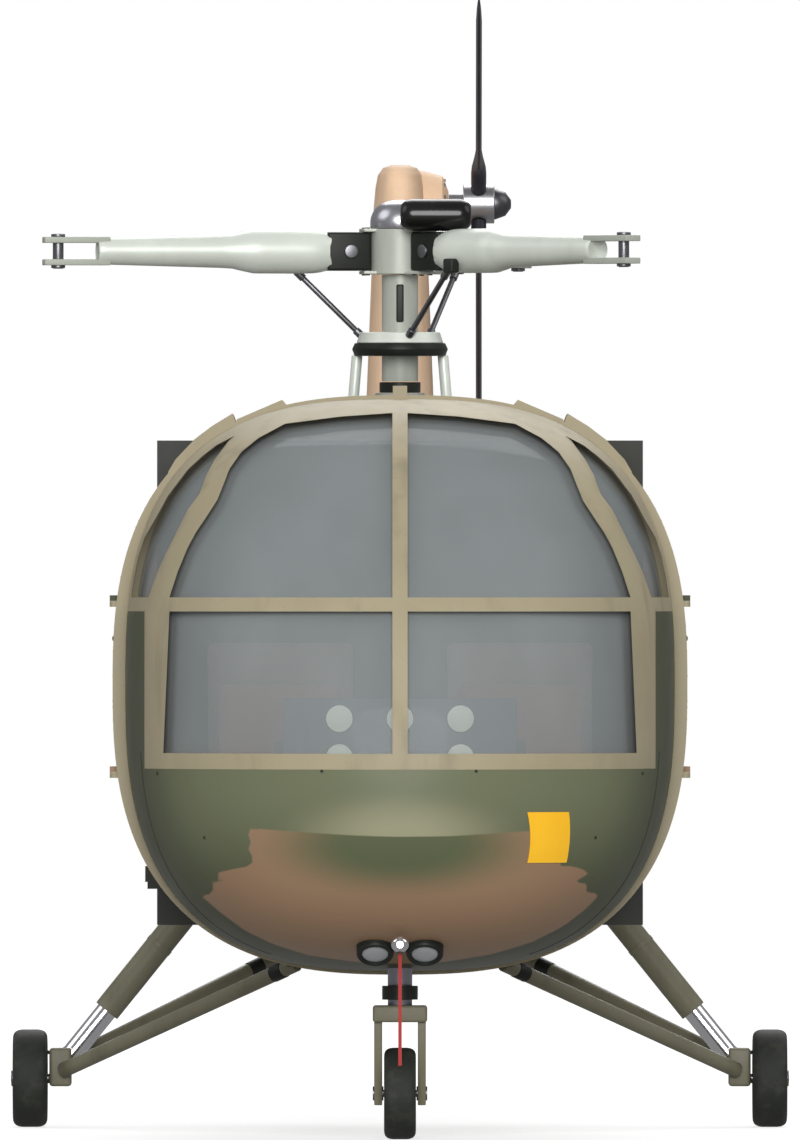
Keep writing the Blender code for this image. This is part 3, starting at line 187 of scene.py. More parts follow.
def turned_mesh(profile, place=Matrix.Identity(4), sides=64, closed=False):
    """A turned solid: profile is (radius, height) along it."""

    def build(shape):
        rings = []
        for radius, height in profile:
            ring = []
            for step in range(sides if radius > 0 else 1):
                angle = 2 * math.pi * step / sides
                point = Vector((radius * math.cos(angle), radius * math.sin(angle), height))
                ring.append(shape.verts.new(place @ point))
            rings.append(ring)
        skin_rings(shape, rings, closed=closed)

    return mesh_from(build)


def prism_mesh(outline, axis, low, high):
    """A prism: outline is (x, z) for axis Y, (y, z) for X and (x, y) for Z."""

    def place(point, along):
        first, second = point
        if axis == "Y":
            return (first, along, second)
        if axis == "X":
            return (along, first, second)
        return (first, second, along)

    def build(shape):
        skin_rings(shape, [[shape.verts.new(place(point, along)) for point in outline] for along in (low, high)])

    return mesh_from(build)


def tube_mesh(points, radius, sides=12):
    """A tube along a line of points, with capped ends."""
    points = [Vector(point) for point in points]

    def build(shape):
        rings = []
        normal = None
        for index, point in enumerate(points):
            ahead = points[min(index + 1, len(points) - 1)] - points[max(index - 1, 0)]
            ahead.normalize()
            if normal is None:
                normal = ahead.orthogonal().normalized()
            normal = (normal - ahead * normal.dot(ahead)).normalized()
            side = ahead.cross(normal)
            ring = []
            for step in range(sides):
                angle = 2 * math.pi * step / sides
                ring.append(shape.verts.new(point + (normal * math.cos(angle) + side * math.sin(angle)) * radius))
            rings.append(ring)
        skin_rings(shape, rings)

    return mesh_from(build)


def smooth_path(points, steps=6):
    """Points on a smooth curve through the given ones."""
    points = [Vector(point) for point in points]
    full = [points[0] * 2 - points[1]] + points + [points[-1] * 2 - points[-2]]
    path = []
    for a, b, c, d in zip(full, full[1:], full[2:], full[3:]):
        for step in range(steps):
            t = step / steps
            path.append(
                0.5 * ((b * 2) + (c - a) * t + (a * 2 - b * 5 + c * 4 - d) * t * t + (b * 3 - a - c * 3 + d) * t**3)
            )
    path.append(points[-1])
    return path


def rounded_outline(low, high, radius, steps=8):
    points = []
    corners = (
        (high[0] - radius, high[1] - radius, 0),
        (low[0] + radius, high[1] - radius, 90),
        (low[0] + radius, low[1] + radius, 180),
        (high[0] - radius, low[1] + radius, 270),
    )
    for x, y, start in corners:
        for step in range(steps + 1):
            angle = math.radians(start + 90 * step / steps)
            points.append((x + radius * math.cos(angle), y + radius * math.sin(angle)))
    return points


def moved(mesh, place):
    mesh.transform(place)
    return mesh


def merged(*meshes):
    """Several meshes in one."""
    shape = bmesh.new()
    for mesh in meshes:
        shape.from_mesh(mesh)
    result = bpy.data.meshes.new("merged")
    shape.to_mesh(result)
    shape.free()
    return result


def combine(mesh, *steps):
    """The mesh after a Boolean with each (operation, tool mesh)."""
    scene = bpy.context.scene.collection
    item = bpy.data.objects.new("work", mesh)
    scene.objects.link(item)
    tools = []
    for operation, tool_mesh in steps:
        tool = bpy.data.objects.new("tool", tool_mesh)
        scene.objects.link(tool)
        modifier = item.modifiers.new("cut", "BOOLEAN")
        modifier.operation = operation
        modifier.solver = "EXACT"
        modifier.object = tool
        tools.append(tool)
    graph = bpy.context.evaluated_depsgraph_get()
    result = bpy.data.meshes.new_from_object(item.evaluated_get(graph))
    for used in [item] + tools:
        bpy.data.objects.remove(used)
    return result


def bevelled(mesh, width, segments=2, angle=40):
    """The mesh with its sharp edges rounded."""
    scene = bpy.context.scene.collection
    item = bpy.data.objects.new("work", mesh)
    scene.objects.link(item)
    modifier = item.modifiers.new("bevel", "BEVEL")
    modifier.width = width
    modifier.segments = segments
    modifier.limit_method = "ANGLE"
    modifier.angle_limit = math.radians(angle)
    modifier.harden_normals = False
    graph = bpy.context.evaluated_depsgraph_get()
    result = bpy.data.meshes.new_from_object(item.evaluated_get(graph))
    bpy.data.objects.remove(item)
    return result


def piece(name, mesh, body, material, replaced=(), smooth=35):
    """A finished piece of the aircraft, smooth but for its sharp edges."""
    item = bpy.data.objects.new(name, mesh)
    bpy.context.scene.collection.objects.link(item)
    mesh.materials.clear()
    mesh.materials.append(material)
    mesh.polygons.foreach_set("material_index", [0] * len(mesh.polygons))
    mesh.shade_smooth()
    mesh.set_sharp_from_angle(angle=math.radians(smooth))
    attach(item, body)
    if replaced:
        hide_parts(*replaced)
    return item


# Materials


def new_material(name):
    material = bpy.data.materials.new(name)
    material.use_nodes = True
    tree = material.node_tree
    return material, tree, tree.nodes["Principled BSDF"]


def noise_node(tree, scale, detail=4.0, roughness=0.55, stretch=(1, 1, 1)):
    """Noise in the object's own space."""
    where = tree.nodes.new("ShaderNodeTexCoord")
    mapping = tree.nodes.new("ShaderNodeMapping")
    mapping.inputs["Scale"].default_value = stretch
    noise = tree.nodes.new("ShaderNodeTexNoise")
    noise.inputs["Scale"].default_value = scale
    noise.inputs["Detail"].default_value = detail
    noise.inputs["Roughness"].default_value = roughness
    tree.links.new(where.outputs["Object"], mapping.inputs["Vector"])
    tree.links.new(mapping.outputs["Vector"], noise.inputs["Vector"])
    return noise.outputs["Fac"]


def ramp_node(tree, factor, low, high, sharp=False):
    """Remaps factor so that low gives 0 and high gives 1."""
    node = tree.nodes.new("ShaderNodeMapRange")
    node.interpolation_type = "LINEAR" if sharp else "SMOOTHSTEP"
    node.inputs["From Min"].default_value = low
    node.inputs["From Max"].default_value = high
    tree.links.new(factor, node.inputs["Value"])
    return node.outputs["Result"]


def mix_node(tree, factor, first, second, blend="MIX"):
    node = tree.nodes.new("ShaderNodeMix")
    node.data_type = "RGBA"
    node.blend_type = blend
    if isinstance(factor, float):
        node.inputs[0].default_value = factor
    else:
        tree.links.new(factor, node.inputs[0])
    for socket, value in ((node.inputs[6], first), (node.inputs[7], second)):
        if isinstance(value, tuple):
            socket.default_value = (*value, 1.0)
        else:
            tree.links.new(value, socket)
    return node.outputs[2]


def add_bump(tree, shader, height, strength, distance):
    bump = tree.nodes.new("ShaderNodeBump")
    bump.inputs["Strength"].default_value = strength
    bump.inputs["Distance"].default_value = distance
    tree.links.new(height, bump.inputs["Height"])
    tree.links.new(bump.outputs["Normal"], shader.inputs["Normal"])


def weathered(tree, colour, dirt, amount, streaks=True):
    """A paint colour with cloudy fading, rain streaks and specks of dirt."""
    faded = tuple(min(1.0, c * 1.10 + 0.01) for c in colour) if isinstance(colour, tuple) else None
    base = colour
    if faded:
        base = mix_node(tree, ramp_node(tree, noise_node(tree, 2.3), 0.35, 0.70), colour, faded)
    if streaks:
        runs = ramp_node(tree, noise_node(tree, 9.0, 3.0, stretch=(1, 1, 0.12)), 0.52, 0.80)
        weak = tree.nodes.new("ShaderNodeMath")
        weak.operation = "MULTIPLY"
        weak.inputs[1].default_value = amount
        tree.links.new(runs, weak.inputs[0])
        base = mix_node(tree, weak.outputs[0], base, dirt)
    specks = ramp_node(tree, noise_node(tree, 85.0, 2.0), 0.66, 0.74)
    speck_share = tree.nodes.new("ShaderNodeMath")
    speck_share.operation = "MULTIPLY"
    speck_share.inputs[1].default_value = amount * 0.6
    tree.links.new(specks, speck_share.inputs[0])
    return mix_node(tree, speck_share.outputs[0], base, dirt)


# Level of the sheen on paint, low as on dusty matt finishes
SHEEN = 0.22


def paint(name, colour, roughness=0.45, metallic=0.0, dirt=(0.03, 0.028, 0.02), amount=0.25, grain=0.15, coat=0.0):
    material, tree, shader = new_material(name)
    tree.links.new(weathered(tree, colour, dirt, amount), shader.inputs["Base Color"])
    shader.inputs["Metallic"].default_value = metallic
    shader.inputs["Coat Weight"].default_value = coat
    shader.inputs["Specular IOR Level"].default_value = SHEEN
    uneven = tree.nodes.new("ShaderNodeMapRange")
    uneven.inputs["To Min"].default_value = roughness - 0.07
    uneven.inputs["To Max"].default_value = roughness + 0.10
    tree.links.new(noise_node(tree, 14.0, 3.0), uneven.inputs["Value"])
    tree.links.new(uneven.outputs["Result"], shader.inputs["Roughness"])
    add_bump(tree, shader, noise_node(tree, 240.0, 2.0), grain, 0.0006)
    return material


def metal(name, colour, roughness=0.28, brushed=(1, 1, 1), amount=0.2):
    """Bare metal, brushed along the axis whose stretch is small."""
    material, tree, shader = new_material(name)
    dark = tuple(c * 0.55 for c in colour)
    lines = ramp_node(tree, noise_node(tree, 90.0, 3.0, stretch=brushed), 0.30, 0.75)
    soft = tree.nodes.new("ShaderNodeMath")
    soft.operation = "MULTIPLY"
    soft.inputs[1].default_value = amount
    tree.links.new(lines, soft.inputs[0])
    tree.links.new(mix_node(tree, soft.outputs[0], colour, dark), shader.inputs["Base Color"])
    shader.inputs["Metallic"].default_value = 1.0
    uneven = tree.nodes.new("ShaderNodeMapRange")
    uneven.inputs["To Min"].default_value = roughness - 0.05
    uneven.inputs["To Max"].default_value = roughness + 0.12
    tree.links.new(noise_node(tree, 25.0, 3.0, stretch=brushed), uneven.inputs["Value"])
    tree.links.new(uneven.outputs["Result"], shader.inputs["Roughness"])
    return material


def rubber_material():
    material, tree, shader = new_material("tyre_rubber")
    dusty = ramp_node(tree, noise_node(tree, 18.0), 0.45, 0.75)
    tree.links.new(mix_node(tree, dusty, (0.010, 0.012, 0.008), (0.028, 0.030, 0.020)), shader.inputs["Base Color"])
    shader.inputs["Roughness"].default_value = 0.72
    add_bump(tree, shader, noise_node(tree, 320.0, 2.0), 0.35, 0.0008)
    return material


def cloth_material(name, colour):
    """Woven seat cloth: two crossed waves, dusty and sun-faded."""
    material, tree, shader = new_material(name)
    where = tree.nodes.new("ShaderNodeTexCoord")
    waves = []
    for direction in ("X", "Z"):
        wave = tree.nodes.new("ShaderNodeTexWave")
        wave.bands_direction = direction
        wave.inputs["Scale"].default_value = 110.0
        wave.inputs["Distortion"].default_value = 0.6
        tree.links.new(where.outputs["Object"], wave.inputs["Vector"])
        waves.append(wave.outputs["Fac"])
    weave = tree.nodes.new("ShaderNodeMath")
    weave.operation = "MULTIPLY"
    tree.links.new(waves[0], weave.inputs[0])
    tree.links.new(waves[1], weave.inputs[1])
    faded = mix_node(tree, ramp_node(tree, noise_node(tree, 5.0), 0.35, 0.70), colour, tuple(c * 1.15 for c in colour))
    threads = mix_node(tree, weave.outputs[0], tuple(c * 0.78 for c in colour), faded)
    tree.links.new(threads, shader.inputs["Base Color"])
    shader.inputs["Roughness"].default_value = 0.88
    shader.inputs["Sheen Weight"].default_value = 0.25
    add_bump(tree, shader, weave.outputs[0], 0.35, 0.0012)
    return material


def glass_material(name, colour, cover):
    """Tinted acrylic that hides a share of what is behind it."""
    material, tree, shader = new_material(name)
    haze = ramp_node(tree, noise_node(tree, 3.0, 3.0, stretch=(1, 1, 0.4)), 0.30, 0.75)
    tree.links.new(mix_node(tree, haze, colour, tuple(c * 1.12 for c in colour)), shader.inputs["Base Color"])
    shader.inputs["Roughness"].default_value = 0.06
    shader.inputs["IOR"].default_value = 1.49
    shader.inputs["Specular IOR Level"].default_value = 0.06
    shader.inputs["Alpha"].default_value = cover
    return material


def camouflage(name, first, second, scale, level, amount=0.25, roughness=0.42):
    """Two paint colours in large soft-edged patches."""
    material, tree, shader = new_material(name)
    patches = ramp_node(tree, noise_node(tree, scale, 2.0, 0.4, stretch=(1, 1, 1.4)), level, level + 0.012)
    two = mix_node(tree, patches, first, second)
    faded = mix_node(tree, ramp_node(tree, noise_node(tree, 5.0), 0.45, 0.85), two, (0.30, 0.30, 0.22))
    softened = mix_node(tree, 0.12, two, faded)
    tree.links.new(weathered(tree, softened, (0.03, 0.028, 0.02), amount), shader.inputs["Base Color"])
    uneven = tree.nodes.new("ShaderNodeMapRange")
    uneven.inputs["To Min"].default_value = roughness - 0.05
    uneven.inputs["To Max"].default_value = roughness + 0.10
    tree.links.new(noise_node(tree, 12.0, 3.0), uneven.inputs["Value"])
    tree.links.new(uneven.outputs["Result"], shader.inputs["Roughness"])
    add_bump(tree, shader, noise_node(tree, 200.0, 2.0), 0.12, 0.0006)
    return material


def hull_paint():
    """Beige front hoop, and green and brown camouflage aft of it and on the doors."""
    material, tree, shader = new_material("hull_paint")
    where = tree.nodes.new("ShaderNodeTexCoord")
    split = tree.nodes.new("ShaderNodeSeparateXYZ")
    tree.links.new(where.outputs["Object"], split.inputs["Vector"])
    patches = ramp_node(tree, noise_node(tree, 1.1, 2.0, 0.4, stretch=(1, 1, 1.4)), 0.53, 0.542)
    two = mix_node(tree, patches, DARK_GREEN, BROWN)
    aft = ramp_node(tree, split.outputs["Y"], HOOP_Y + 0.044, HOOP_Y + 0.046, sharp=True)
    both = mix_node(tree, aft, BEIGE, two)
    tree.links.new(weathered(tree, both, (0.03, 0.028, 0.02), 0.22), shader.inputs["Base Color"])
    shader.inputs["Roughness"].default_value = 0.48
    shader.inputs["Specular IOR Level"].default_value = SHEEN
    add_bump(tree, shader, noise_node(tree, 220.0, 2.0), 0.12, 0.0006)
    return material


BEIGE = (0.335, 0.290, 0.190)
OLIVE = (0.150, 0.165, 0.098)
DARK_GREEN = (0.052, 0.060, 0.028)
BROWN = (0.300, 0.190, 0.115)
TAN = (0.72, 0.50, 0.33)
GEAR_OLIVE = (0.165, 0.155, 0.105)

LOOKS = {
    "beige": paint("beige_paint", BEIGE, 0.50),
    "beige_light": paint("beige_light_paint", (0.50, 0.45, 0.32), 0.50),
    "green": camouflage("green_brown_paint", DARK_GREEN, BROWN, 0.75, 0.56),
    "dark_green": paint("dark_green_paint", DARK_GREEN, 0.48),
    "tan": paint("tan_paint", TAN, 0.55, amount=0.18),
    "gear": paint("gear_olive_paint", GEAR_OLIVE, 0.42, amount=0.35),
    "panel": paint("dark_panel_paint", (0.052, 0.053, 0.048), 0.75, amount=0.15),
    "console": paint("console_paint", (0.085, 0.093, 0.125), 0.60, grain=0.5),
    "ceiling": paint("cabin_lining", (0.20, 0.125, 0.080), 0.85),
    "black": paint("black_paint", (0.009, 0.011, 0.008), 0.42, dirt=(0.05, 0.05, 0.04)),
    "blade": paint("blade_paint", (0.010, 0.010, 0.018), 0.32, dirt=(0.08, 0.08, 0.08)),
    "alloy": paint("pale_alloy_paint", (0.62, 0.66, 0.60), 0.36, metallic=0.15, amount=0.12),
    "hub": paint("hub_grey_paint", (0.40, 0.42, 0.37), 0.40, metallic=0.15, amount=0.2),
    "fork": paint("fork_grey_paint", (0.36, 0.38, 0.33), 0.45, amount=0.2),
    "dark_steel": metal("dark_steel", (0.115, 0.115, 0.125), 0.36),
    "steel": metal("worn_steel", (0.42, 0.42, 0.44), 0.32),
    "chrome": metal("chrome_plate", (0.72, 0.72, 0.75), 0.10, amount=0.06),
    "dome": metal("dome_alloy", (0.48, 0.48, 0.53), 0.26, amount=0.12),
    "bronze": metal("heat_stained_steel", (0.33, 0.26, 0.20), 0.38, amount=0.4),
    "rubber": rubber_material(),
    "front_cloth": cloth_material("front_seat_cloth", (0.30, 0.165, 0.130)),
    "rear_cloth": cloth_material("rear_seat_cloth", (0.235, 0.185, 0.145)),
    "glass": glass_material("tinted_acrylic", (0.385, 0.42, 0.425), 0.33),
    "lens": paint("lamp_lens", (0.30, 0.31, 0.32), 0.22, amount=0.05, grain=0.0, coat=0.5),
    "lining": paint("pink_lining", (0.250, 0.165, 0.125), 0.85, amount=0.1),
    "streamer": cloth_material("red_tape", (0.48, 0.045, 0.040)),
    "seal": paint("rubber_seal", (0.030, 0.028, 0.022), 0.80, amount=0.1),
    "hull": hull_paint(),
    "ledge": paint("ledge_paint", (0.050, 0.062, 0.066), 0.60),
    "mast": paint("mast_paint", (0.42, 0.44, 0.39), 0.38, metallic=0.15, amount=0.15),
    "pin": metal("grey_steel", (0.20, 0.20, 0.215), 0.34),
    "strut": metal("strut_steel", (0.30, 0.29, 0.33), 0.28),
    "gloss_black": paint("gloss_black_paint", (0.004, 0.004, 0.004), 0.25, amount=0.03, coat=0.3),
    "case": paint("gearbox_paint", (0.30, 0.31, 0.30), 0.45, metallic=0.4, amount=0.35),
    "engine": metal("engine_steel", (0.36, 0.34, 0.32), 0.38, amount=0.35),
    "yellow": paint("yellow_paint", (0.95, 0.50, 0.018), 0.45, amount=0.06),
    "red": paint("red_paint", (0.50, 0.028, 0.035), 0.45, amount=0.1),
    "dial": paint("dial_face", (0.86, 0.92, 0.78), 0.35, amount=0.03),
}


# Stage


def make_stage():
    scene = bpy.context.scene
    scene.view_settings.view_transform = "Standard"
    camera_data = bpy.data.cameras.new("camera")
    camera_data.type = "PERSP"
    camera_data.sensor_width = 36.0
    camera_data.lens = CAMERA_LENS
    camera_data.clip_start = 1.0
    camera_data.clip_end = 2000.0
    camera = bpy.data.objects.new("camera", camera_data)
    camera.location = (0.0, CAMERA_Y, CAMERA_Z)
    camera.rotation_euler = (math.radians(90), 0.0, 0.0)
    scene.collection.objects.link(camera)
    scene.camera = camera

    suns = (
        # name, strength, softness in degrees, azimuth it comes from, elevation
        ("front_light", 2.50, 32, 0, 14),
        ("left_light", 0.55, 40, -80, 35),
        ("right_light", 0.55, 40, 80, 35),
        ("rear_light", 1.50, 40, 175, 40),
    )
    for name, strength, softness, azimuth, elevation in suns:
        data = bpy.data.lights.new(name, "SUN")
        data.energy = strength
        data.angle = math.radians(softness)
        light = bpy.data.objects.new(name, data)
        turn, lift = math.radians(azimuth), math.radians(elevation)
        source = Vector((math.sin(turn) * math.cos(lift), -math.cos(turn) * math.cos(lift), math.sin(lift)))
        light.rotation_mode = "QUATERNION"
        light.rotation_quaternion = source.to_track_quat("Z", "Y")
        light.location = source * 20
        scene.collection.objects.link(light)

    world = bpy.data.worlds.new("studio")
    scene.world = world
    world.use_nodes = True
    tree = world.node_tree
    background = tree.nodes["Background"]
    background.inputs["Color"].default_value = (1.0, 1.0, 1.0, 1.0)
    path = tree.nodes.new("ShaderNodeLightPath")
    strength = tree.nodes.new("ShaderNodeMapRange")
    strength.inputs["To Min"].default_value = 0.30
    strength.inputs["To Max"].default_value = 1.0
    tree.links.new(path.outputs["Is Camera Ray"], strength.inputs["Value"])
    tree.links.new(strength.outputs["Result"], background.inputs["Strength"])

    floor_mesh = bpy.data.meshes.new("floor")
    floor_mesh.from_pydata([(-40, -40, 0), (40, -40, 0), (40, 40, 0), (-40, 40, 0)], [], [(0, 1, 2, 3)])
    floor = bpy.data.objects.new("floor", floor_mesh)
    scene.collection.objects.link(floor)
    material, floor_tree, shader = new_material("pale_floor")
    shader.inputs["Base Color"].default_value = (0.55, 0.55, 0.55, 1.0)
    shader.inputs["Roughness"].default_value = 0.9
    shader.inputs["Specular IOR Level"].default_value = 0.0
    shader.inputs["Emission Color"].default_value = (1.0, 1.0, 1.0, 1.0)
    shader.inputs["Emission Strength"].default_value = 0.62
    floor_mesh.materials.append(material)
    floor.visible_diffuse = False
    floor.visible_glossy = False


# Surfaces of the nose and cabin


def signed_power(value, power):
    return math.copysign(abs(value) ** power, value)


def cabin_point(angle, inset=0.0):
    power = 2.0 / CABIN_POWER
    x = CABIN_HALF_WIDTH * signed_power(math.cos(angle), power)
    z = CABIN_HALF_HEIGHT * signed_power(math.sin(angle), power)
    normal = Vector(
        (
            signed_power(x / CABIN_HALF_WIDTH, CABIN_POWER - 1) / CABIN_HALF_WIDTH,
            signed_power(z / CABIN_HALF_HEIGHT, CABIN_POWER - 1) / CABIN_HALF_HEIGHT,
        )
    ).normalized()
    return x - normal.x * inset, CABIN_CENTRE_Z + z - normal.y * inset


def cabin_side_x(z, inset=0.0):
    share = abs(z - CABIN_CENTRE_Z) / (CABIN_HALF_HEIGHT - inset)
    return (CABIN_HALF_WIDTH - inset) * max(0.0, 1 - share**CABIN_POWER) ** (1 / CABIN_POWER)


def ring_angles(count):
    return [2 * math.pi * (step + 0.5) / count for step in range(count)]


def cabin_ring_mesh(profile, around=176):
    """A closed ring around the cabin: profile is a loop of (inset, y)."""

    def build(shape):
        rings = []
        for inset, y in profile:
            rings.append([shape.verts.new((x, y, z)) for x, z in (cabin_point(a, inset) for a in ring_angles(around))])
        skin_rings(shape, rings, closed=True)

    return mesh_from(build)


def nose_point(ring, angle):
    power = 2.0 / NOSE_POWER
    centre = NOSE_TIP_Z + (CABIN_CENTRE_Z - NOSE_TIP_Z) * ring**2
    x = NOSE_HALF_WIDTH * ring * signed_power(math.cos(angle), power)
    z = centre + NOSE_HALF_HEIGHT * ring * signed_power(math.sin(angle), power)
    depth = 1 - (1 - ring**NOSE_LENGTH_POWER) ** (1 / NOSE_LENGTH_POWER)
    return Vector((x, NOSE_TIP_Y + (HOOP_Y - NOSE_TIP_Y) * depth, z))


def nose_normal(ring, angle):
    if ring < 0.004:
        return Vector((0, -1, 0))
    if ring > 0.9999:
        radial = nose_point(1.0, angle + 0.001) - nose_point(1.0, angle - 0.001)
        return Vector((radial.z, 0, -radial.x)).normalized()
    around = nose_point(ring, angle + 0.001) - nose_point(ring, angle - 0.001)
    outward = nose_point(min(ring + 0.001, 1.0), angle) - nose_point(ring - 0.001, angle)
    return outward.cross(around).normalized()


def nose_place(x, z, inset=0.0):
    """The point and normal of the nose surface at a front-view place."""
    low, high = 0.0, 1.0
    angle = 0.0
    for _ in range(40):
        ring = (low + high) / 2
        centre = NOSE_TIP_Z + (CABIN_CENTRE_Z - NOSE_TIP_Z) * ring**2
        span = (abs(x) / NOSE_HALF_WIDTH) ** NOSE_POWER + (abs(z - centre) / NOSE_HALF_HEIGHT) ** NOSE_POWER
        if span ** (1 / NOSE_POWER) > ring:
            low = ring
        else:
            high = ring
    ring = (low + high) / 2
    centre = NOSE_TIP_Z + (CABIN_CENTRE_Z - NOSE_TIP_Z) * ring**2
    cosine = signed_power(x / (NOSE_HALF_WIDTH * ring), NOSE_POWER / 2)
    sine = signed_power((z - centre) / (NOSE_HALF_HEIGHT * ring), NOSE_POWER / 2)
    angle = math.atan2(sine, cosine)
    normal = nose_normal(ring, angle)
    return nose_point(ring, angle) - normal * inset, normal


def nose_shell_mesh(outer, inner, ring_count=40, around=128):
    """The nose bubble as a shell between two insets, open at the hoop."""

    def surface(shape, inset):
        rings = []
        for index in range(ring_count + 1):
            ring = math.sin(math.pi / 2 * index / ring_count)
            row = []
            for angle in ring_angles(around) if index else [0.0]:
                point = nose_point(ring, angle) - nose_normal(ring, angle) * inset
                point.y = min(point.y, HOOP_Y - 0.0003)
                row.append(shape.verts.new(point))
            rings.append(row)
        return rings

    def build(shape):
        skin_rings(shape, surface(shape, outer) + surface(shape, inner)[::-1])

    return mesh_from(build)


def mirrored(outline):
    return [(-x, z) for x, z in reversed(outline)]


def screen_area(gap):
    low, mid = BAR_LOW_Z[0] - gap, BAR_MID_Z[0] - gap
    side = SIDE_POST_X[1] + gap
    right = [(side, low), (side, mid), (1.2, mid), (1.2, 2.8)]
    return right + mirrored(right)


UPPER_PANE = (
    # x, z of the port upper windscreen pane's edge
    (CENTRE_POST_HALF, BAR_MID_Z[1]),
    (0.791, BAR_MID_Z[1]),
    (0.763, 1.950),
    (0.729, 2.033),
    (0.701, 2.085),
    (0.666, 2.137),
    (0.628, 2.196),
    (0.611, 2.238),
    (0.586, 2.304),
    (0.545, 2.363),
    (0.486, 2.411),
    (0.396, 2.460),
    (0.200, 2.485),
    (CENTRE_POST_HALF, 2.497),
)
LOWER_PANE = (
    # x, z of the port lower windscreen pane's edge
    (CENTRE_POST_HALF, BAR_LOW_Z[1]),
    (SIDE_POST_X[0], BAR_LOW_Z[1]),
    (0.791, BAR_MID_Z[0]),
    (CENTRE_POST_HALF, BAR_MID_Z[0]),
)
QUARTER_PANE = (
    # x, z of the window between the side post and the door hoop
    (0.864, BAR_MID_Z[1]),
    (0.925, BAR_MID_Z[1]),
    (0.915, 1.935),
    (0.900, 2.005),
    (0.880, 2.068),
    (0.843, 2.130),
    (0.798, 2.213),
    (0.729, 2.304),
    (0.680, 2.349),
    (0.631, 2.387),
    (0.570, 2.418),
    (0.590, 2.401),
    (0.638, 2.335),
    (0.666, 2.283),
    (0.690, 2.217),
    (0.729, 2.165),
    (0.777, 2.068),
    (0.805, 2.012),
    (0.833, 1.950),
)


# Camouflage patch under the windscreen, as the photograph shows it: column, row
PATCH_OUTLINE = (
    (248, 824), (253, 838), (250, 847), (255, 850), (252, 856), (257, 861), (240, 864), (222, 868), (214, 877),
    (229, 877), (214, 884), (218, 889), (203, 892), (222, 908), (246, 926), (275, 940), (310, 951), (360, 958),
    (400, 960), (440, 958), (490, 950), (530, 938), (562, 922), (585, 904), (598, 890), (583, 888), (586, 880),
    (572, 878), (588, 868), (570, 862), (556, 862), (560, 852), (548, 846), (552, 836), (545, 826), (500, 829),
    (450, 832), (400, 833), (350, 831), (300, 828),
)


def outline_distance(x, z, outline):
    """Distance to an outline, positive inside."""
    inside = False
    nearest = 10.0
    for (x0, z0), (x1, z1) in zip(outline, outline[1:] + outline[:1]):
        run, rise = x1 - x0, z1 - z0
        share = max(0.0, min(1.0, ((x - x0) * run + (z - z0) * rise) / (run * run + rise * rise)))
        nearest = min(nearest, math.hypot(x - x0 - run * share, z - z0 - rise * share))
        if (z0 > z) != (z1 > z) and x < x0 + run * (z - z0) / rise:
            inside = not inside
    return nearest if inside else -nearest


# lower edge of the painted reflection under the windscreen
REFLECTION_LOW_Z = 1.046


def nose_paint():
    """Olive nose with a brown patch, which the mesh's own attribute places, with painted shade and painted
    reflections.
    """
    material, tree, shader = new_material("nose_paint")
    where = tree.nodes.new("ShaderNodeTexCoord")
    split = tree.nodes.new("ShaderNodeSeparateXYZ")
    tree.links.new(where.outputs["Object"], split.inputs["Vector"])
    patch = tree.nodes.new("ShaderNodeAttribute")
    patch.attribute_name = "patch"
    edge = ramp_node(tree, patch.outputs["Fac"], -0.003, 0.003)
    # painted reflection: a dark green band, the horizon's reflection, shows in the brown's upper middle
    squash = tree.nodes.new("ShaderNodeVectorMath")
    squash.operation = "MULTIPLY_ADD"
    squash.inputs[1].default_value = (1.9, 0.0, 5.2)
    squash.inputs[2].default_value = (0.0, 0.0, -5.2 * 1.020)
    tree.links.new(where.outputs["Object"], squash.inputs[0])
    reach = tree.nodes.new("ShaderNodeVectorMath")
    reach.operation = "LENGTH"
    tree.links.new(squash.outputs["Vector"], reach.inputs[0])
    dark_reflection = ramp_node(tree, reach.outputs["Value"], 0.35, 1.05)
    brown = mix_node(tree, dark_reflection, (0.100, 0.115, 0.060), BROWN)
    # painted shade: the skin is darker low down and far back
    height = ramp_node(tree, split.outputs["Z"], 0.62, 1.25)
    green = mix_node(tree, height, DARK_GREEN, OLIVE)
    depth = ramp_node(tree, split.outputs["Y"], -4.75, -4.15)
    green = mix_node(tree, depth, green, DARK_GREEN)
    # painted reflection: a pale ellipse under the windscreen, ending in a sharp line, stands for reflected light
    reflection_oval = tree.nodes.new("ShaderNodeVectorMath")
    reflection_oval.operation = "MULTIPLY_ADD"
    reflection_oval.inputs[1].default_value = (1 / 0.47, 0.0, 1 / 0.175)
    reflection_oval.inputs[2].default_value = (0.0, 0.0, -REFLECTION_LOW_Z / 0.175)
    tree.links.new(where.outputs["Object"], reflection_oval.inputs[0])
    reflection_oval_reach = tree.nodes.new("ShaderNodeVectorMath")
    reflection_oval_reach.operation = "LENGTH"
    tree.links.new(reflection_oval.outputs["Vector"], reflection_oval_reach.inputs[0])
    inside = ramp_node(tree, reflection_oval_reach.outputs["Value"], 1.0, 0.10)
    above = ramp_node(tree, split.outputs["Z"], REFLECTION_LOW_Z - 0.001, REFLECTION_LOW_Z + 0.001, sharp=True)
    share = tree.nodes.new("ShaderNodeMath")
    share.operation = "MULTIPLY"
    tree.links.new(inside, share.inputs[0])
    tree.links.new(above, share.inputs[1])
    green = mix_node(tree, share.outputs[0], green, (0.300, 0.290, 0.185))
    both = mix_node(tree, edge, green, brown)
    tree.links.new(weathered(tree, both, (0.03, 0.03, 0.02), 0.12, streaks=False), shader.inputs["Base Color"])
    uneven = tree.nodes.new("ShaderNodeMapRange")
    uneven.inputs["To Min"].default_value = 0.36
    uneven.inputs["To Max"].default_value = 0.46
    tree.links.new(noise_node(tree, 10.0, 3.0), uneven.inputs["Value"])
    tree.links.new(uneven.outputs["Result"], shader.inputs["Roughness"])
    shader.inputs["Specular IOR Level"].default_value = 0.15
    add_bump(tree, shader, noise_node(tree, 200.0, 2.0), 0.10, 0.0005)
    return material


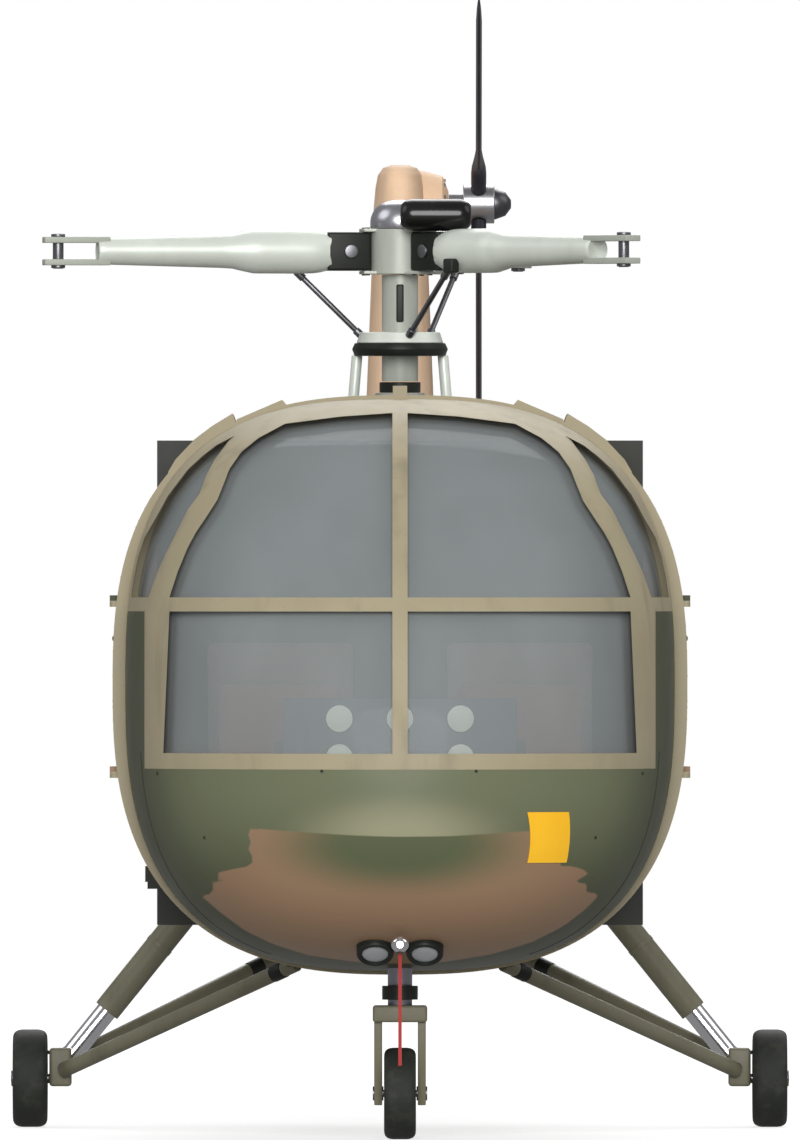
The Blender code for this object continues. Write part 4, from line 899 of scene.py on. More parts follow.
LAMP_FACE = (0.085, -4.745, 0.636)
LAMP_RADIUS = 0.064
LAMP_DEPTH = 0.100
LAMP_TILT = math.radians(52.4)


def lamp_place(side):
    """Frame of a lamp: local Z runs from its front face into the nose."""
    tilt = Matrix.Rotation(math.radians(90) - LAMP_TILT, 4, "X")
    toward = Matrix.Rotation(math.radians(180), 4, "Z")
    return Matrix.Translation((side * LAMP_FACE[0], LAMP_FACE[1], LAMP_FACE[2])) @ toward @ tilt


def lamp_hole(side):
    front = Vector((side * LAMP_FACE[0], LAMP_FACE[1], LAMP_FACE[2]))
    inward = Vector((0.0, math.cos(LAMP_TILT), math.sin(LAMP_TILT)))
    return rod_mesh(front, front + inward * (LAMP_DEPTH + 0.0003), LAMP_RADIUS + 0.0003)


def make_nose():
    steps = [("DIFFERENCE", prism_mesh(screen_area(0.0003), "Y", -5.4, -3.6))]
    steps.append(("DIFFERENCE", rod_mesh((0, NOSE_STRUT_Y, 0.30), (0, NOSE_STRUT_Y, 0.90), 0.0423)))
    for side in (-1, 1):
        steps.append(("DIFFERENCE", lamp_hole(side)))
    skin = combine(nose_shell_mesh(0.0, NOSE_WALL), *steps)
    outline = [from_photo(column, row) for column, row in PATCH_OUTLINE]
    values = skin.attributes.new("patch", "FLOAT", "POINT")
    for index, vertex in enumerate(skin.vertices):
        values.data[index].value = outline_distance(vertex.co.x, vertex.co.z, outline)
    piece("nose_skin", skin, "airframe", nose_paint(), ("nose_shell",), smooth=50)

    steps = [("INTERSECT", prism_mesh(screen_area(0.0), "Y", -5.4, -3.6))]
    for outline in (UPPER_PANE, LOWER_PANE, QUARTER_PANE):
        steps.append(("DIFFERENCE", prism_mesh(list(outline), "Y", -5.4, HOOP_Y - 0.012)))
        steps.append(("DIFFERENCE", prism_mesh(mirrored(outline), "Y", -5.4, HOOP_Y - 0.012)))
    frame_mesh = combine(nose_shell_mesh(0.0, NOSE_WALL), *steps)
    piece("windscreen_members", frame_mesh, "airframe", LOOKS["beige"], ("windscreen_frame",), smooth=50)

    panes = (
        # name, CAD node, lowest z, highest z, half-width
        ("windscreen_pane_upper", "windscreen_glass_upper", BAR_MID_Z[0] + 0.024, 2.8, 1.2),
        ("windscreen_pane_lower", "windscreen_glass_lower", BAR_LOW_Z[0] + 0.025, BAR_MID_Z[0] + 0.0235, 0.858),
    )
    outer = NOSE_WALL + 0.0003
    for name, node, low, high, half in panes:
        shell = nose_shell_mesh(outer, outer + NOSE_GLASS)
        pane = combine(shell, ("INTERSECT", box_mesh((-half, -5.4, low), (half, -3.6, high))))
        piece(name, pane, "airframe", LOOKS["glass"], (node,), smooth=50)


# Small fittings on the nose


def nose_patch(outline_rows, lift, thick):
    """A thin plate that follows the nose: rows of front-view points, lifted off the skin."""

    def build(shape):
        layers = []
        for level in (lift, lift + thick):
            rows = []
            for row in outline_rows:
                rows.append([shape.verts.new(nose_place(x, z, -level)[0]) for x, z in row])
            layers.append(rows)
        low, high = layers
        for rows in layers:
            for first, second in zip(rows, rows[1:]):
                for a, b, c, d in zip(first, first[1:], second[1:], second):
                    shape.faces.new((a, b, c, d))
        borders = []
        for rows in (low, high):
            rim = list(rows[0]) + [row[-1] for row in rows[1:]]
            rim += list(reversed(rows[-1]))[1:] + [row[0] for row in reversed(rows[1:-1])]
            borders.append(rim)
        for step in range(len(borders[0])):
            after = (step + 1) % len(borders[0])
            shape.faces.new((borders[0][step], borders[0][after], borders[1][after], borders[1][step]))

    return mesh_from(build)


def nose_disc(x, z, radius, lift):
    """A small round head on the nose's skin."""
    point, normal = nose_place(x, z)
    return rod_mesh(point - normal * 0.002, point + normal * lift, radius, sides=20, bevel=lift * 0.3)


def placard_rows():
    """The plate's front-view grid; both its upright edges bow to port."""
    rows = []
    for down in range(9):
        share = down / 8
        bow = 4 * share * (1 - share)
        left, right = 525.4 + 2.8 * bow, 566.3 - 2.3 * share + 2.0 * bow
        row_z = 808.6 + 49.8 * share
        rows.append([from_photo(left + (right - left) * step / 8, row_z) for step in range(9)])
    return rows


def make_nose_fittings():
    piece("blank_placard", nose_patch(placard_rows(), 0.0005, 0.0015), "airframe", LOOKS["yellow"])
    heads = []
    for column, row in ((593, 834), (207, 834), (323, 768), (475, 768), (640, 771), (160, 771)):
        heads.append(nose_disc(*from_photo(column, row), 0.0055, 0.0025))
    piece("nose_screws", merged(*heads), "airframe", LOOKS["seal"])
    lines = []
    for side in (-1, 1):
        path = []
        for step in range(40):
            angle = math.radians(-6 - 62 * step / 39)
            point = nose_point(0.945, angle)
            path.append((side * point.x, point.y, point.z))
        lines.append(tube_mesh(path, 0.0012, 6))
    piece("nose_panel_line", merged(*lines), "airframe", LOOKS["seal"])

    for side, label in ((-1, "right"), (1, "left")):
        place = lamp_place(side)
        drum = (
            # radius, depth behind the front face
            (0.0, LAMP_DEPTH),
            (LAMP_RADIUS, LAMP_DEPTH),
            (LAMP_RADIUS, 0.008),
            (LAMP_RADIUS - 0.002, 0.003),
            (LAMP_RADIUS - 0.006, 0.0),
            (0.050, 0.0),
            (0.046, 0.004),
            (0.045, 0.016),
            (0.0, 0.016),
        )
        node = f"landing_lamp_{label}"
        piece(f"lamp_drum_{label}", turned_mesh(drum, place, 56), "airframe", LOOKS["black"], (node,))
        lens = (
            # radius, depth
            (0.0, 0.0158),
            (0.0445, 0.0158),
            (0.0445, 0.0070),
            (0.036, 0.0035),
            (0.020, 0.0015),
            (0.0, 0.0010),
        )
        piece(f"lamp_lens_{label}", turned_mesh(lens, place, 48), "airframe", LOOKS["lens"])

    sphere = (0, -4.890, 0.680)
    steps = [("UNION", rod_mesh((0, -5.3103, 0.680), (0, -4.42, 0.680), 0.012, sides=32))]
    probe = combine(ball_mesh(sphere, 0.032, 40), *steps)
    piece("air_probe", probe, "airframe", LOOKS["chrome"], ("pitot_probe",))
    nozzle = turned_mesh(
        ((0.0, -0.004), (0.0105, -0.004), (0.0120, 0.003), (0.0120, 0.016), (0.0, 0.016)),
        Matrix.Translation((0, -4.893, 0.650)),
        24,
    )
    piece("probe_nozzle", nozzle, "airframe", LOOKS["dark_steel"])

    # the red tape hangs from the nozzle with a slight wave
    low, high, half = 0.262, 0.6457, 0.006
    count = 48

    def build(shape):
        layers = []
        for offset in (-0.0005, 0.0005):
            rows = []
            for step in range(count + 1):
                share = step / count
                z = high + (low - high) * share
                y = -4.890 + 0.0022 * math.sin(share * 9.0) * share + offset
                twist = 0.0016 * math.sin(share * 5.0)
                rows.append([shape.verts.new((x, y + twist * x / half, z)) for x in (-half, 0.0, half)])
            layers.append(rows)
        rings = []
        for back_row, front_row in zip(*layers):
            rings.append(list(back_row) + list(reversed(front_row)))
        skin_rings(shape, rings)

    tape = piece("streamer_tape", mesh_from(build), "airframe", LOOKS["streamer"], ("streamer",))


# Cabin ring and doors

FRONT_SPAN = (-3.803, -3.195)
REAR_SPAN = (-3.145, -2.55)
DOOR_Z = (0.860, 2.260)
WINDOW_Z = (1.420, 2.190)
HINGE_X = 0.992
HINGE_Y = -3.80
HINGE_RADIUS = 0.009
HINGE_LEVELS = (1.250, 1.840)
HINGE_HALF = 0.010
ROOF_RAILS = (
    # x, z of each rail's outline, port side, along the edge of the roof
    ((0.395, 2.505), (0.395, 2.531), (0.406, 2.544), (0.562, 2.477), (0.575, 2.440)),
    (
        (0.560, 2.450),
        (0.578, 2.4965),
        (0.649, 2.453),
        (0.708, 2.408),
        (0.774, 2.338),
        (0.800, 2.294),
        (0.788, 2.284),
        (0.700, 2.368),
        (0.640, 2.410),
    ),
)
POST_END = ((-0.0245, HOOP_Y + 0.001, 2.530), (0.0245, HOOP_Y + 0.070, 2.592))


def side_range(side):
    return (0.60, 1.20) if side > 0 else (-1.20, -0.60)


def door_outline(span, gaps, radius=0.10):
    low = (span[0] + gaps[0], DOOR_Z[0] + gaps[2])
    high = (span[1] - gaps[1], DOOR_Z[1] - gaps[2])
    return rounded_outline(low, high, radius)


def window_outline(span, grow=0.0, radius=0.07, steps=8):
    low = (span[0] + 0.070 - grow, WINDOW_Z[0] - grow)
    high = (span[1] - 0.070 + grow, WINDOW_Z[1] + grow)
    return rounded_outline(low, high, radius, steps)


def on_side(side, y, z, inset=0.0):
    """A point on the cabin's side skin."""
    return (side * cabin_side_x(z, inset), y, z)


def ring_tube_mesh(points, radius, sides=10):
    """A closed tube through a loop of points."""
    points = [Vector(point) for point in points]
    count = len(points)

    def build(shape):
        rings = []
        for index, point in enumerate(points):
            ahead = (points[(index + 1) % count] - points[index - 1]).normalized()
            across = ahead.cross(Vector((1, 0, 0))).normalized()
            up = ahead.cross(across)
            ring = []
            for step in range(sides):
                angle = 2 * math.pi * step / sides
                ring.append(shape.verts.new(point + (across * math.cos(angle) + up * math.sin(angle)) * radius))
            rings.append(ring)
        skin_rings(shape, rings, closed=True)

    return mesh_from(build)


def hinge_mesh(side, level, fixed):
    """One leaf of a door hinge, as the solids have it."""
    inner_x = cabin_side_x(level) - 0.012
    first_angle = -90 if fixed else 0
    knuckle = []
    for step in range(4):
        angle = math.radians(first_angle + 30 * step)
        reach = HINGE_X + HINGE_RADIUS * math.cos(angle)
        knuckle.append((side * reach, HINGE_Y + HINGE_RADIUS * math.sin(angle)))
    if fixed:
        low, high = level - HINGE_HALF, level + HINGE_HALF
        near, far = (side * inner_x, HINGE_Y - 0.030), (side * HINGE_X, HINGE_Y - 0.030)
        outline = [near, far] + knuckle + [(side * inner_x, HINGE_Y)]
    else:
        low, high = level + HINGE_HALF + 0.0003, level + HINGE_HALF * 3
        far, near = (side * HINGE_X, HINGE_Y + 0.045), (side * inner_x, HINGE_Y + 0.045)
        outline = [(side * inner_x, HINGE_Y)] + knuckle + [far, near]
    return prism_mesh(outline, "Z", low, high)


def rivet_heads(places, radius=0.0035, height=0.0012):
    """Small domed heads: places are (point, outward direction)."""
    heads = []
    for point, normal in places:
        point, normal = Vector(point), Vector(normal)
        heads.append(rod_mesh(point - normal * 0.001, point + normal * height, radius, radius * 0.6, sides=8))
    return merged(*heads)


def make_cabin():
    flange = 0.078
    profile = (
        (0.0, HOOP_Y),
        (0.0, BULKHEAD_Y),
        (flange, BULKHEAD_Y),
        (flange, BULKHEAD_Y - 0.030),
        (CABIN_WALL, BULKHEAD_Y - 0.030),
        (CABIN_WALL, HOOP_Y + 0.030),
        (flange, HOOP_Y + 0.030),
        (flange, HOOP_Y),
    )
    steps = [("UNION", box_mesh(*POST_END))]
    for rail in ROOF_RAILS:
        steps.append(("UNION", prism_mesh(list(rail), "Y", HOOP_Y + 0.002, BULKHEAD_Y - 0.020)))
        steps.append(("UNION", prism_mesh(mirrored(rail), "Y", HOOP_Y + 0.002, BULKHEAD_Y - 0.020)))
    for side in (-1, 1):
        low, high = side_range(side)
        for span in (FRONT_SPAN, REAR_SPAN):
            steps.append(("DIFFERENCE", prism_mesh(door_outline(span, (0, 0, 0)), "X", low, high)))
        for level in HINGE_LEVELS:
            steps.append(("UNION", hinge_mesh(side, level, True)))
    shell = combine(cabin_ring_mesh(profile), *steps)
    piece("cabin_skin", shell, "airframe", LOOKS["hull"], ("cabin_shell",))

    doors = (
        # name, side, span, gaps at the front, rear and top, body
        ("front_door_left", 1, FRONT_SPAN, (0.006, 0.013, 0.006), "door_left"),
        ("front_door_right", -1, FRONT_SPAN, (0.006, 0.013, 0.006), "door_right"),
        ("rear_door_left", 1, REAR_SPAN, (0.0003, 0.0003, 0.0003), "airframe"),
        ("rear_door_right", -1, REAR_SPAN, (0.0003, 0.0003, 0.0003), "airframe"),
    )
    for name, side, span, gaps, body in doors:
        low, high = side_range(side)
        wall = cabin_ring_mesh(((0.0, HOOP_Y), (0.0, BULKHEAD_Y), (CABIN_WALL, BULKHEAD_Y), (CABIN_WALL, HOOP_Y)))
        steps = [("INTERSECT", prism_mesh(door_outline(span, gaps), "X", low, high))]
        steps.append(("DIFFERENCE", prism_mesh(window_outline(span), "X", low, high)))
        if body != "airframe":
            steps += [("UNION", hinge_mesh(side, level, False)) for level in HINGE_LEVELS]
        piece(f"{name}_skin", combine(wall, *steps), body, LOOKS["hull"], (name,))
        sheet = cabin_ring_mesh(((0.014, HOOP_Y), (0.014, BULKHEAD_Y), (0.020, BULKHEAD_Y), (0.020, HOOP_Y)))
        pane = combine(sheet, ("INTERSECT", prism_mesh(window_outline(span, -0.0003), "X", low, high)))
        glass_node = name.replace("_door_", "_door_glass_")
        piece(f"{name}_pane", pane, body, LOOKS["glass"], (glass_node,))
        loop = [on_side(side, y, z, 0.010) for y, z in window_outline(span, -0.003, steps=10)]
        piece(f"{name}_seal", ring_tube_mesh(loop, 0.0065), body, LOOKS["seal"])
        heads = []
        for y, z in window_outline(span, 0.022, 0.085, steps=3):
            heads.append((on_side(side, y, z), (side, 0, 0)))
        for count in range(1, 9):
            z = WINDOW_Z[0] + (WINDOW_Z[1] - WINDOW_Z[0]) * count / 9
            for y in (span[0] + 0.048, span[1] - 0.048):
                heads.append((on_side(side, y, z), (side, 0, 0)))
        piece(f"{name}_rivets", rivet_heads(heads), body, LOOKS["hull"])

    for side, label in ((-1, "right"), (1, "left")):
        knob = turned_mesh(
            ((0.0, -0.0150), (0.007, -0.0135), (0.0125, -0.008), (0.0150, 0.0), (0.0125, 0.008), (0.007, 0.0135), (0.0, 0.015)),
            Matrix.Translation((side * 0.982, -3.243, 1.720)) @ Matrix.Rotation(math.radians(90), 4, "Y"),
            32,
        )
        plate = []
        for step in range(24):
            angle = 2 * math.pi * step / 24
            plate.append(on_side(side, -3.243 + 0.022 * math.cos(angle), 1.720 + 0.030 * math.sin(angle), 0.0005))
        body = f"door_{label}"
        piece(f"door_handle_{label}", knob, body, LOOKS["black"])
        piece(f"door_handle_rim_{label}", ring_tube_mesh(plate, 0.0022, 8), body, LOOKS["steel"])

    # warm lining: the ceiling, and the wall around the dark bulkhead
    lining = cabin_ring_mesh(((0.0355, -3.812), (0.0355, -2.538), (0.0385, -2.538), (0.0385, -3.812)))
    roof = combine(lining, ("INTERSECT", box_mesh((-0.9, -4.0, 2.285), (0.9, -2.4, 2.7))))
    piece("ceiling_lining", roof, "airframe", LOOKS["ceiling"])
    outline = [cabin_point(angle, 0.0785) for angle in ring_angles(176)]
    wall = prism_mesh(outline, "Y", -2.4935, -2.4903)
    wall = combine(wall, ("DIFFERENCE", box_mesh((-0.8464, -2.6, 0.7205), (0.8464, -2.4, 2.4085))))
    piece("bulkhead_lining", wall, "airframe", LOOKS["lining"])

    # red safety marks where the nose meets the hoop
    marks = []
    for side in (-1, 1):
        for low_z, high_z in ((0.871, 0.958), (0.703, 0.795)):
            path = []
            for step in range(61):
                angle = math.radians(-15 - 65 * step / 60)
                x, z = cabin_point(angle, 0.047)
                if low_z <= z <= high_z:
                    path.append((side * x, HOOP_Y - 0.0005, z))
            if len(path) > 2:
                marks.append(tube_mesh(path, 0.0035, 8))
    if marks:
        piece("safety_marks", merged(*marks), "airframe", LOOKS["red"])


# Inside of the cabin

CONSOLE_FACE_Y = -4.440
DIALS = ((-0.208, 1.447), (0.0, 1.447), (0.208, 1.447), (-0.208, 1.3135), (0.208, 1.3135))
DIAL_RADIUS = 0.0465
FLOOR_TOP = 0.8053


def inflated(mesh, voxel, cap, pressure=4.0, frames=12):
    """A pad's mesh after a cloth simulation blows it up, with a limit on how far each point moves."""
    scene = bpy.context.scene
    item = bpy.data.objects.new("pad", mesh)
    scene.collection.objects.link(item)
    remesh = item.modifiers.new("remesh", "REMESH")
    remesh.mode = "VOXEL"
    remesh.voxel_size = voxel
    graph = bpy.context.evaluated_depsgraph_get()
    fine = bpy.data.meshes.new_from_object(item.evaluated_get(graph))
    item.modifiers.clear()
    item.data = fine
    starts = [vertex.co.copy() for vertex in fine.vertices]
    cloth = item.modifiers.new("cloth", "CLOTH")
    cloth.settings.use_pressure = True
    cloth.settings.uniform_pressure_force = pressure
    cloth.settings.effector_weights.gravity = 0.0
    for number in range(1, frames + 1):
        scene.frame_set(number)
    graph = bpy.context.evaluated_depsgraph_get()
    blown = bpy.data.meshes.new_from_object(item.evaluated_get(graph))
    bpy.data.objects.remove(item)
    scene.frame_set(1)
    for vertex, start in zip(blown.vertices, starts):
        shift = vertex.co - start
        if shift.length > cap:
            vertex.co = start + shift * (cap / shift.length)
    return blown


SEATS = (
    # name, look, inner x, outer x, front y, back y, seat z, top z
    ("front_seat", "front_cloth", 0.195, 0.637, -3.95, -3.47, 1.150, 1.562),
    ("rear_seat", "rear_cloth", 0.155, 0.678, -3.05, -2.64, 1.180, 1.708),
)


def make_seats():
    for name, look, inner, outer, front, back, seat_z, top_z in SEATS:
        half = (outer - inner) / 2
        slope = math.atan2(0.095, top_z - seat_z)
        length = math.hypot(0.095, top_z - seat_z)
        back_core = box_mesh((-half + 0.004, -0.046, 0.006), (half - 0.004, 0.046, length - 0.002), 0.020, 4)
        back_core = inflated(moved(back_core, Matrix.Rotation(-slope, 4, "X")), 0.012, 0.006)
        seat_core = box_mesh((-half + 0.006, front - 0.014, seat_z - 0.124), (half - 0.006, back - 0.128, seat_z - 0.006), 0.024, 4)
        seat_core = inflated(seat_core, 0.012, 0.008)
        for side, label in ((-1, "right"), (1, "left")):
            middle = side * (inner + outer) / 2
            place = Matrix.Translation((middle, back - 0.064, seat_z))
            back_pad = piece(
                f"{name}_back_{label}", moved(back_core.copy(), place), "airframe", LOOKS[look],
                (f"{name}_{label}",), smooth=80,
            )
            shift = Matrix.Translation((middle, 0, 0))
            seat_pad = piece(
                f"{name}_cushion_{label}", moved(seat_core.copy(), shift), "airframe", LOOKS[look], smooth=80
            )
            for pad in (back_pad, seat_pad):
                pad.modifiers.new("smooth", "SUBSURF").render_levels = 1
                pad.modifiers["smooth"].levels = 1
            outline = [
                (front + 0.02, FLOOR_TOP + 0.0002),
                (back - 0.03, FLOOR_TOP + 0.0002),
                (back - 0.012, seat_z - 0.060),
                (back - 0.002, seat_z),
                (back - 0.018, seat_z),
                (back - 0.060, seat_z - 0.132),
                (front + 0.01, seat_z - 0.132),
            ]
            low, high = middle - half + 0.014, middle + half - 0.014
            base = bevelled(prism_mesh(outline, "X", low, high), 0.006, 2)
            piece(f"{name}_base_{label}", base, "airframe", LOOKS["panel"])


def make_console():
    outline = [
        (-4.50, FLOOR_TOP),
        (-4.20, FLOOR_TOP),
        (-4.17, 1.367),
        (-4.20, 1.500),
        (-4.22, 1.516),
        (CONSOLE_FACE_Y + 0.004, 1.516),
        (CONSOLE_FACE_Y, 1.512),
        (CONSOLE_FACE_Y, 1.200),
        (-4.50, 1.050),
    ]
    body = bevelled(prism_mesh(outline, "X", -0.401, 0.401), 0.016, 4, 25)
    piece("console_body", body, "airframe", LOOKS["console"], ("instrument_console",))
    ledge = box_mesh((-0.432, CONSOLE_FACE_Y + 0.030, 1.250), (0.432, -4.300, 1.367), 0.004)
    piece("console_ledge", ledge, "airframe", LOOKS["ledge"])
    faces, bezels, screws = [], [], []
    turn = Matrix.Rotation(math.radians(90), 4, "X")
    for x, z in DIALS:
        place = Matrix.Translation((x, CONSOLE_FACE_Y, z)) @ turn
        face = ((0.0, -0.004), (DIAL_RADIUS - 0.0006, -0.004), (DIAL_RADIUS - 0.0006, 0.0055), (0.040, 0.0075), (0.0, 0.0078))
        faces.append(turned_mesh(face, place, 56))
        bezel = (
            (DIAL_RADIUS, -0.002),
            (DIAL_RADIUS + 0.0022, -0.002),
            (DIAL_RADIUS + 0.0022, 0.006),
            (DIAL_RADIUS, 0.0075),
        )
        bezels.append(turned_mesh(bezel, place, 56, closed=True))
        for turn_angle in (45, 135, 225, 315):
            angle = math.radians(turn_angle)
            at = (x + 0.060 * math.cos(angle), CONSOLE_FACE_Y, z + 0.060 * math.sin(angle))
            screws.append((at, (0, -1, 0)))
    piece("dial_faces", merged(*faces), "airframe", LOOKS["dial"])
    piece("dial_bezels", merged(*bezels), "airframe", LOOKS["ledge"])
    piece("console_screws", rivet_heads(screws, 0.0028), "airframe", LOOKS["ledge"])


# Rotor head


def arm_place(azimuth):
    return Matrix.Translation((0, MAST_Y, ROTOR_Z)) @ Matrix.Rotation(math.radians(azimuth), 4, "Z")


def star_outline(reach, half):
    """Outline of a plate with one square lobe for each rotor arm."""
    outline = []
    for azimuth in sorted(azimuth % 360 for azimuth in ARM_AZIMUTHS):
        turn = Matrix.Rotation(math.radians(azimuth), 2)
        for point in ((reach, -half), (reach, half)):
            outline.append(tuple(turn @ Vector(point)))
        valley = math.radians(azimuth + 60)
        depth = half / math.sin(math.radians(60))
        outline.append((depth * math.cos(valley), depth * math.sin(valley)))
    return outline


HORN = (0.372, -0.080, -0.052)
SLEEVE = (
    # distance out along the arm, radius
    (0.259, 0.0673),
    (0.285, 0.0735),
    (0.309, 0.0765),
    (0.340, 0.0775),
    (0.500, 0.0775),
    (0.521, 0.0770),
    (0.560, 0.0690),
    (0.596, 0.0605),
    (0.640, 0.0580),
    (1.050, 0.0470),
    (1.068, 0.0460),
)


def sleeve_mesh(place, sides=64):
    """A blade sleeve, whose inner end is scalloped and whose outer end is slightly hollow."""

    def ring_at(shape, along, radius, scallop=0.0, dish=0.0):
        ring = []
        for step in range(sides):
            angle = 2 * math.pi * step / sides
            reach = along + scallop * (0.5 + 0.5 * math.cos(4 * angle)) + dish
            ring.append(shape.verts.new(place @ Vector((reach, radius * math.cos(angle), radius * math.sin(angle)))))
        return ring

    def build(shape):
        rings = [[shape.verts.new(place @ Vector((0.262, 0, 0)))]]
        rings.append(ring_at(shape, 0.252, 0.060, 0.010))
        rings.append(ring_at(shape, 0.2505, 0.0655, 0.010))
        for along, radius in SLEEVE:
            rings.append(ring_at(shape, along, radius))
        rings.append(ring_at(shape, 1.072, 0.0435))
        rings.append(ring_at(shape, 1.069, 0.036))
        rings.append([shape.verts.new(place @ Vector((1.066, 0, 0)))])
        skin_rings(shape, rings)

    return mesh_from(build)


def make_rotor_head():
    outward = Matrix.Rotation(math.radians(90), 4, "Y")
    on_mast = Matrix.Translation((0, MAST_Y, 0))
    column = ((0.0, 2.6165), (0.0630, 2.6165), (0.0635, 2.618), (0.0635, 2.9885), (0.0, 2.9885))
    piece("mast_column", turned_mesh(column, on_mast, 64), "main_rotor", LOOKS["mast"], ("rotor_mast",))
    collar = (
        (0.0, 2.5766),
        (0.0700, 2.5766),
        (0.0720, 2.579),
        (0.0720, 2.611),
        (0.0700, 2.6138),
        (0.0, 2.6138),
    )
    piece("mast_collar", turned_mesh(collar, on_mast, 64), "main_rotor", LOOKS["black"])
    slot_bar = box_mesh((-0.013, MAST_Y - 0.0693, 2.823), (0.013, MAST_Y - 0.058, 2.955), 0.0055, 4)
    piece("mast_bar", slot_bar, "main_rotor", LOOKS["black"])

    drum = (
        (0.0, 2.9915),
        (0.1065, 2.9915),
        (0.1080, 2.993),
        (0.1080, 3.147),
        (0.1065, 3.1488),
        (0.0, 3.1488),
    )
    piece("hub_drum", turned_mesh(drum, on_mast, 80), "main_rotor", LOOKS["mast"], ("rotor_hub",))
    plates, bolts = [], []
    for low, high in ((-0.0797, -0.0682), (0.0682, 0.0797)):
        plate = prism_mesh(star_outline(0.136, 0.055), "Z", low, high)
        plates.append(moved(bevelled(plate, 0.0025, 2), Matrix.Translation((0, MAST_Y, ROTOR_Z))))
    for azimuth in ARM_AZIMUTHS:
        for across in (-0.036, 0.036):
            for low, high in ((-0.0840, -0.0790), (0.0790, 0.0840)):
                head = rod_mesh((0.121, across, low), (0.121, across, high), 0.009, sides=6, bevel=0.0012)
                bolts.append(moved(head, arm_place(azimuth)))
    piece("hub_plates", merged(*plates), "main_rotor", LOOKS["mast"])
    piece("hub_bolts", merged(*bolts), "main_rotor", LOOKS["dark_steel"])

    for number, azimuth in enumerate(ARM_AZIMUTHS, 1):
        place = arm_place(azimuth)
        sleeve = sleeve_mesh(place)
        piece(f"arm_sleeve_{number}", sleeve, "main_rotor", LOOKS["alloy"], (f"blade_arm_{number}",))
        block = moved(box_mesh((0.1085, -0.0465, -0.0675), (0.2640, 0.0465, 0.0675), 0.010, 4), place)
        piece(f"hinge_block_{number}", block, "main_rotor", LOOKS["black"])
        pins = [moved(rod_mesh((0.181, -0.0540, 0), (0.181, 0.0540, 0), 0.024, bevel=0.003), place)]
        pins.append(moved(rod_mesh((1.211, 0, -0.0617), (1.211, 0, 0.0607), 0.019, bevel=0.003), place))
        for height in (-0.0545, 0.0545):
            collar = rod_mesh((1.211, 0, height - 0.005), (1.211, 0, height + 0.005), 0.0245, bevel=0.0015)
            pins.append(moved(collar, place))
        piece(f"arm_pins_{number}", merged(*pins), "main_rotor", LOOKS["pin"])
        plates = []
        for low, high in ((-0.0495, -0.0285), (0.0285, 0.0495)):
            plates.append(moved(box_mesh((1.030, -0.0335, low), (1.2625, 0.0335, high), 0.003), place))
        piece(f"blade_fork_plates_{number}", merged(*plates), "main_rotor", LOOKS["fork"])
        knob = box_mesh((HORN[0] - 0.025, HORN[1] - 0.018, HORN[2] - 0.025), (HORN[0] + 0.025, HORN[1] + 0.020, HORN[2] + 0.025), 0.008, 4)
        piece(f"horn_knob_{number}", moved(knob, place), "main_rotor", LOOKS["black"])

    dome = (
        # radius, z
        (0.0, 3.1505),
        (0.1035, 3.1505),
        (0.1040, 3.1515),
        (0.1040, 3.176),
        (0.1020, 3.189),
        (0.0960, 3.205),
        (0.0860, 3.221),
        (0.0740, 3.232),
        (0.0580, 3.241),
        (0.0400, 3.247),
        (0.0200, 3.250),
        (0.0, 3.251),
    )
    piece("dome_cap", turned_mesh(dome, on_mast, 80), "main_rotor", LOOKS["dome"], ("hub_dome",))
    canister = [(0.0, 0.001)]
    for step in range(9):
        angle = math.radians(-80 + 80 * step / 8)
        canister.append((0.026 + 0.030 * math.cos(angle), 0.045 + 0.044 * math.sin(angle)))
    canister += [(radius, 0.250 - along) for radius, along in reversed(canister)]
    can_y = MAST_Y - 0.176
    can = turned_mesh(canister, Matrix.Translation((0, can_y, 3.196)) @ outward, 56)
    piece("damper_can", can, "main_rotor", LOOKS["gloss_black"], ("hub_canister",))
    foot = box_mesh((0.030, can_y, 3.1506), (0.075, MAST_Y - 0.106, 3.190), 0.004)
    piece("damper_foot", foot, "main_rotor", LOOKS["black"])


def link_ends(azimuth):
    low = math.radians(azimuth - 26.8)
    foot = Vector((0.140 * math.cos(low), MAST_Y + 0.140 * math.sin(low), 2.775))
    return foot, arm_place(azimuth) @ Vector(HORN)


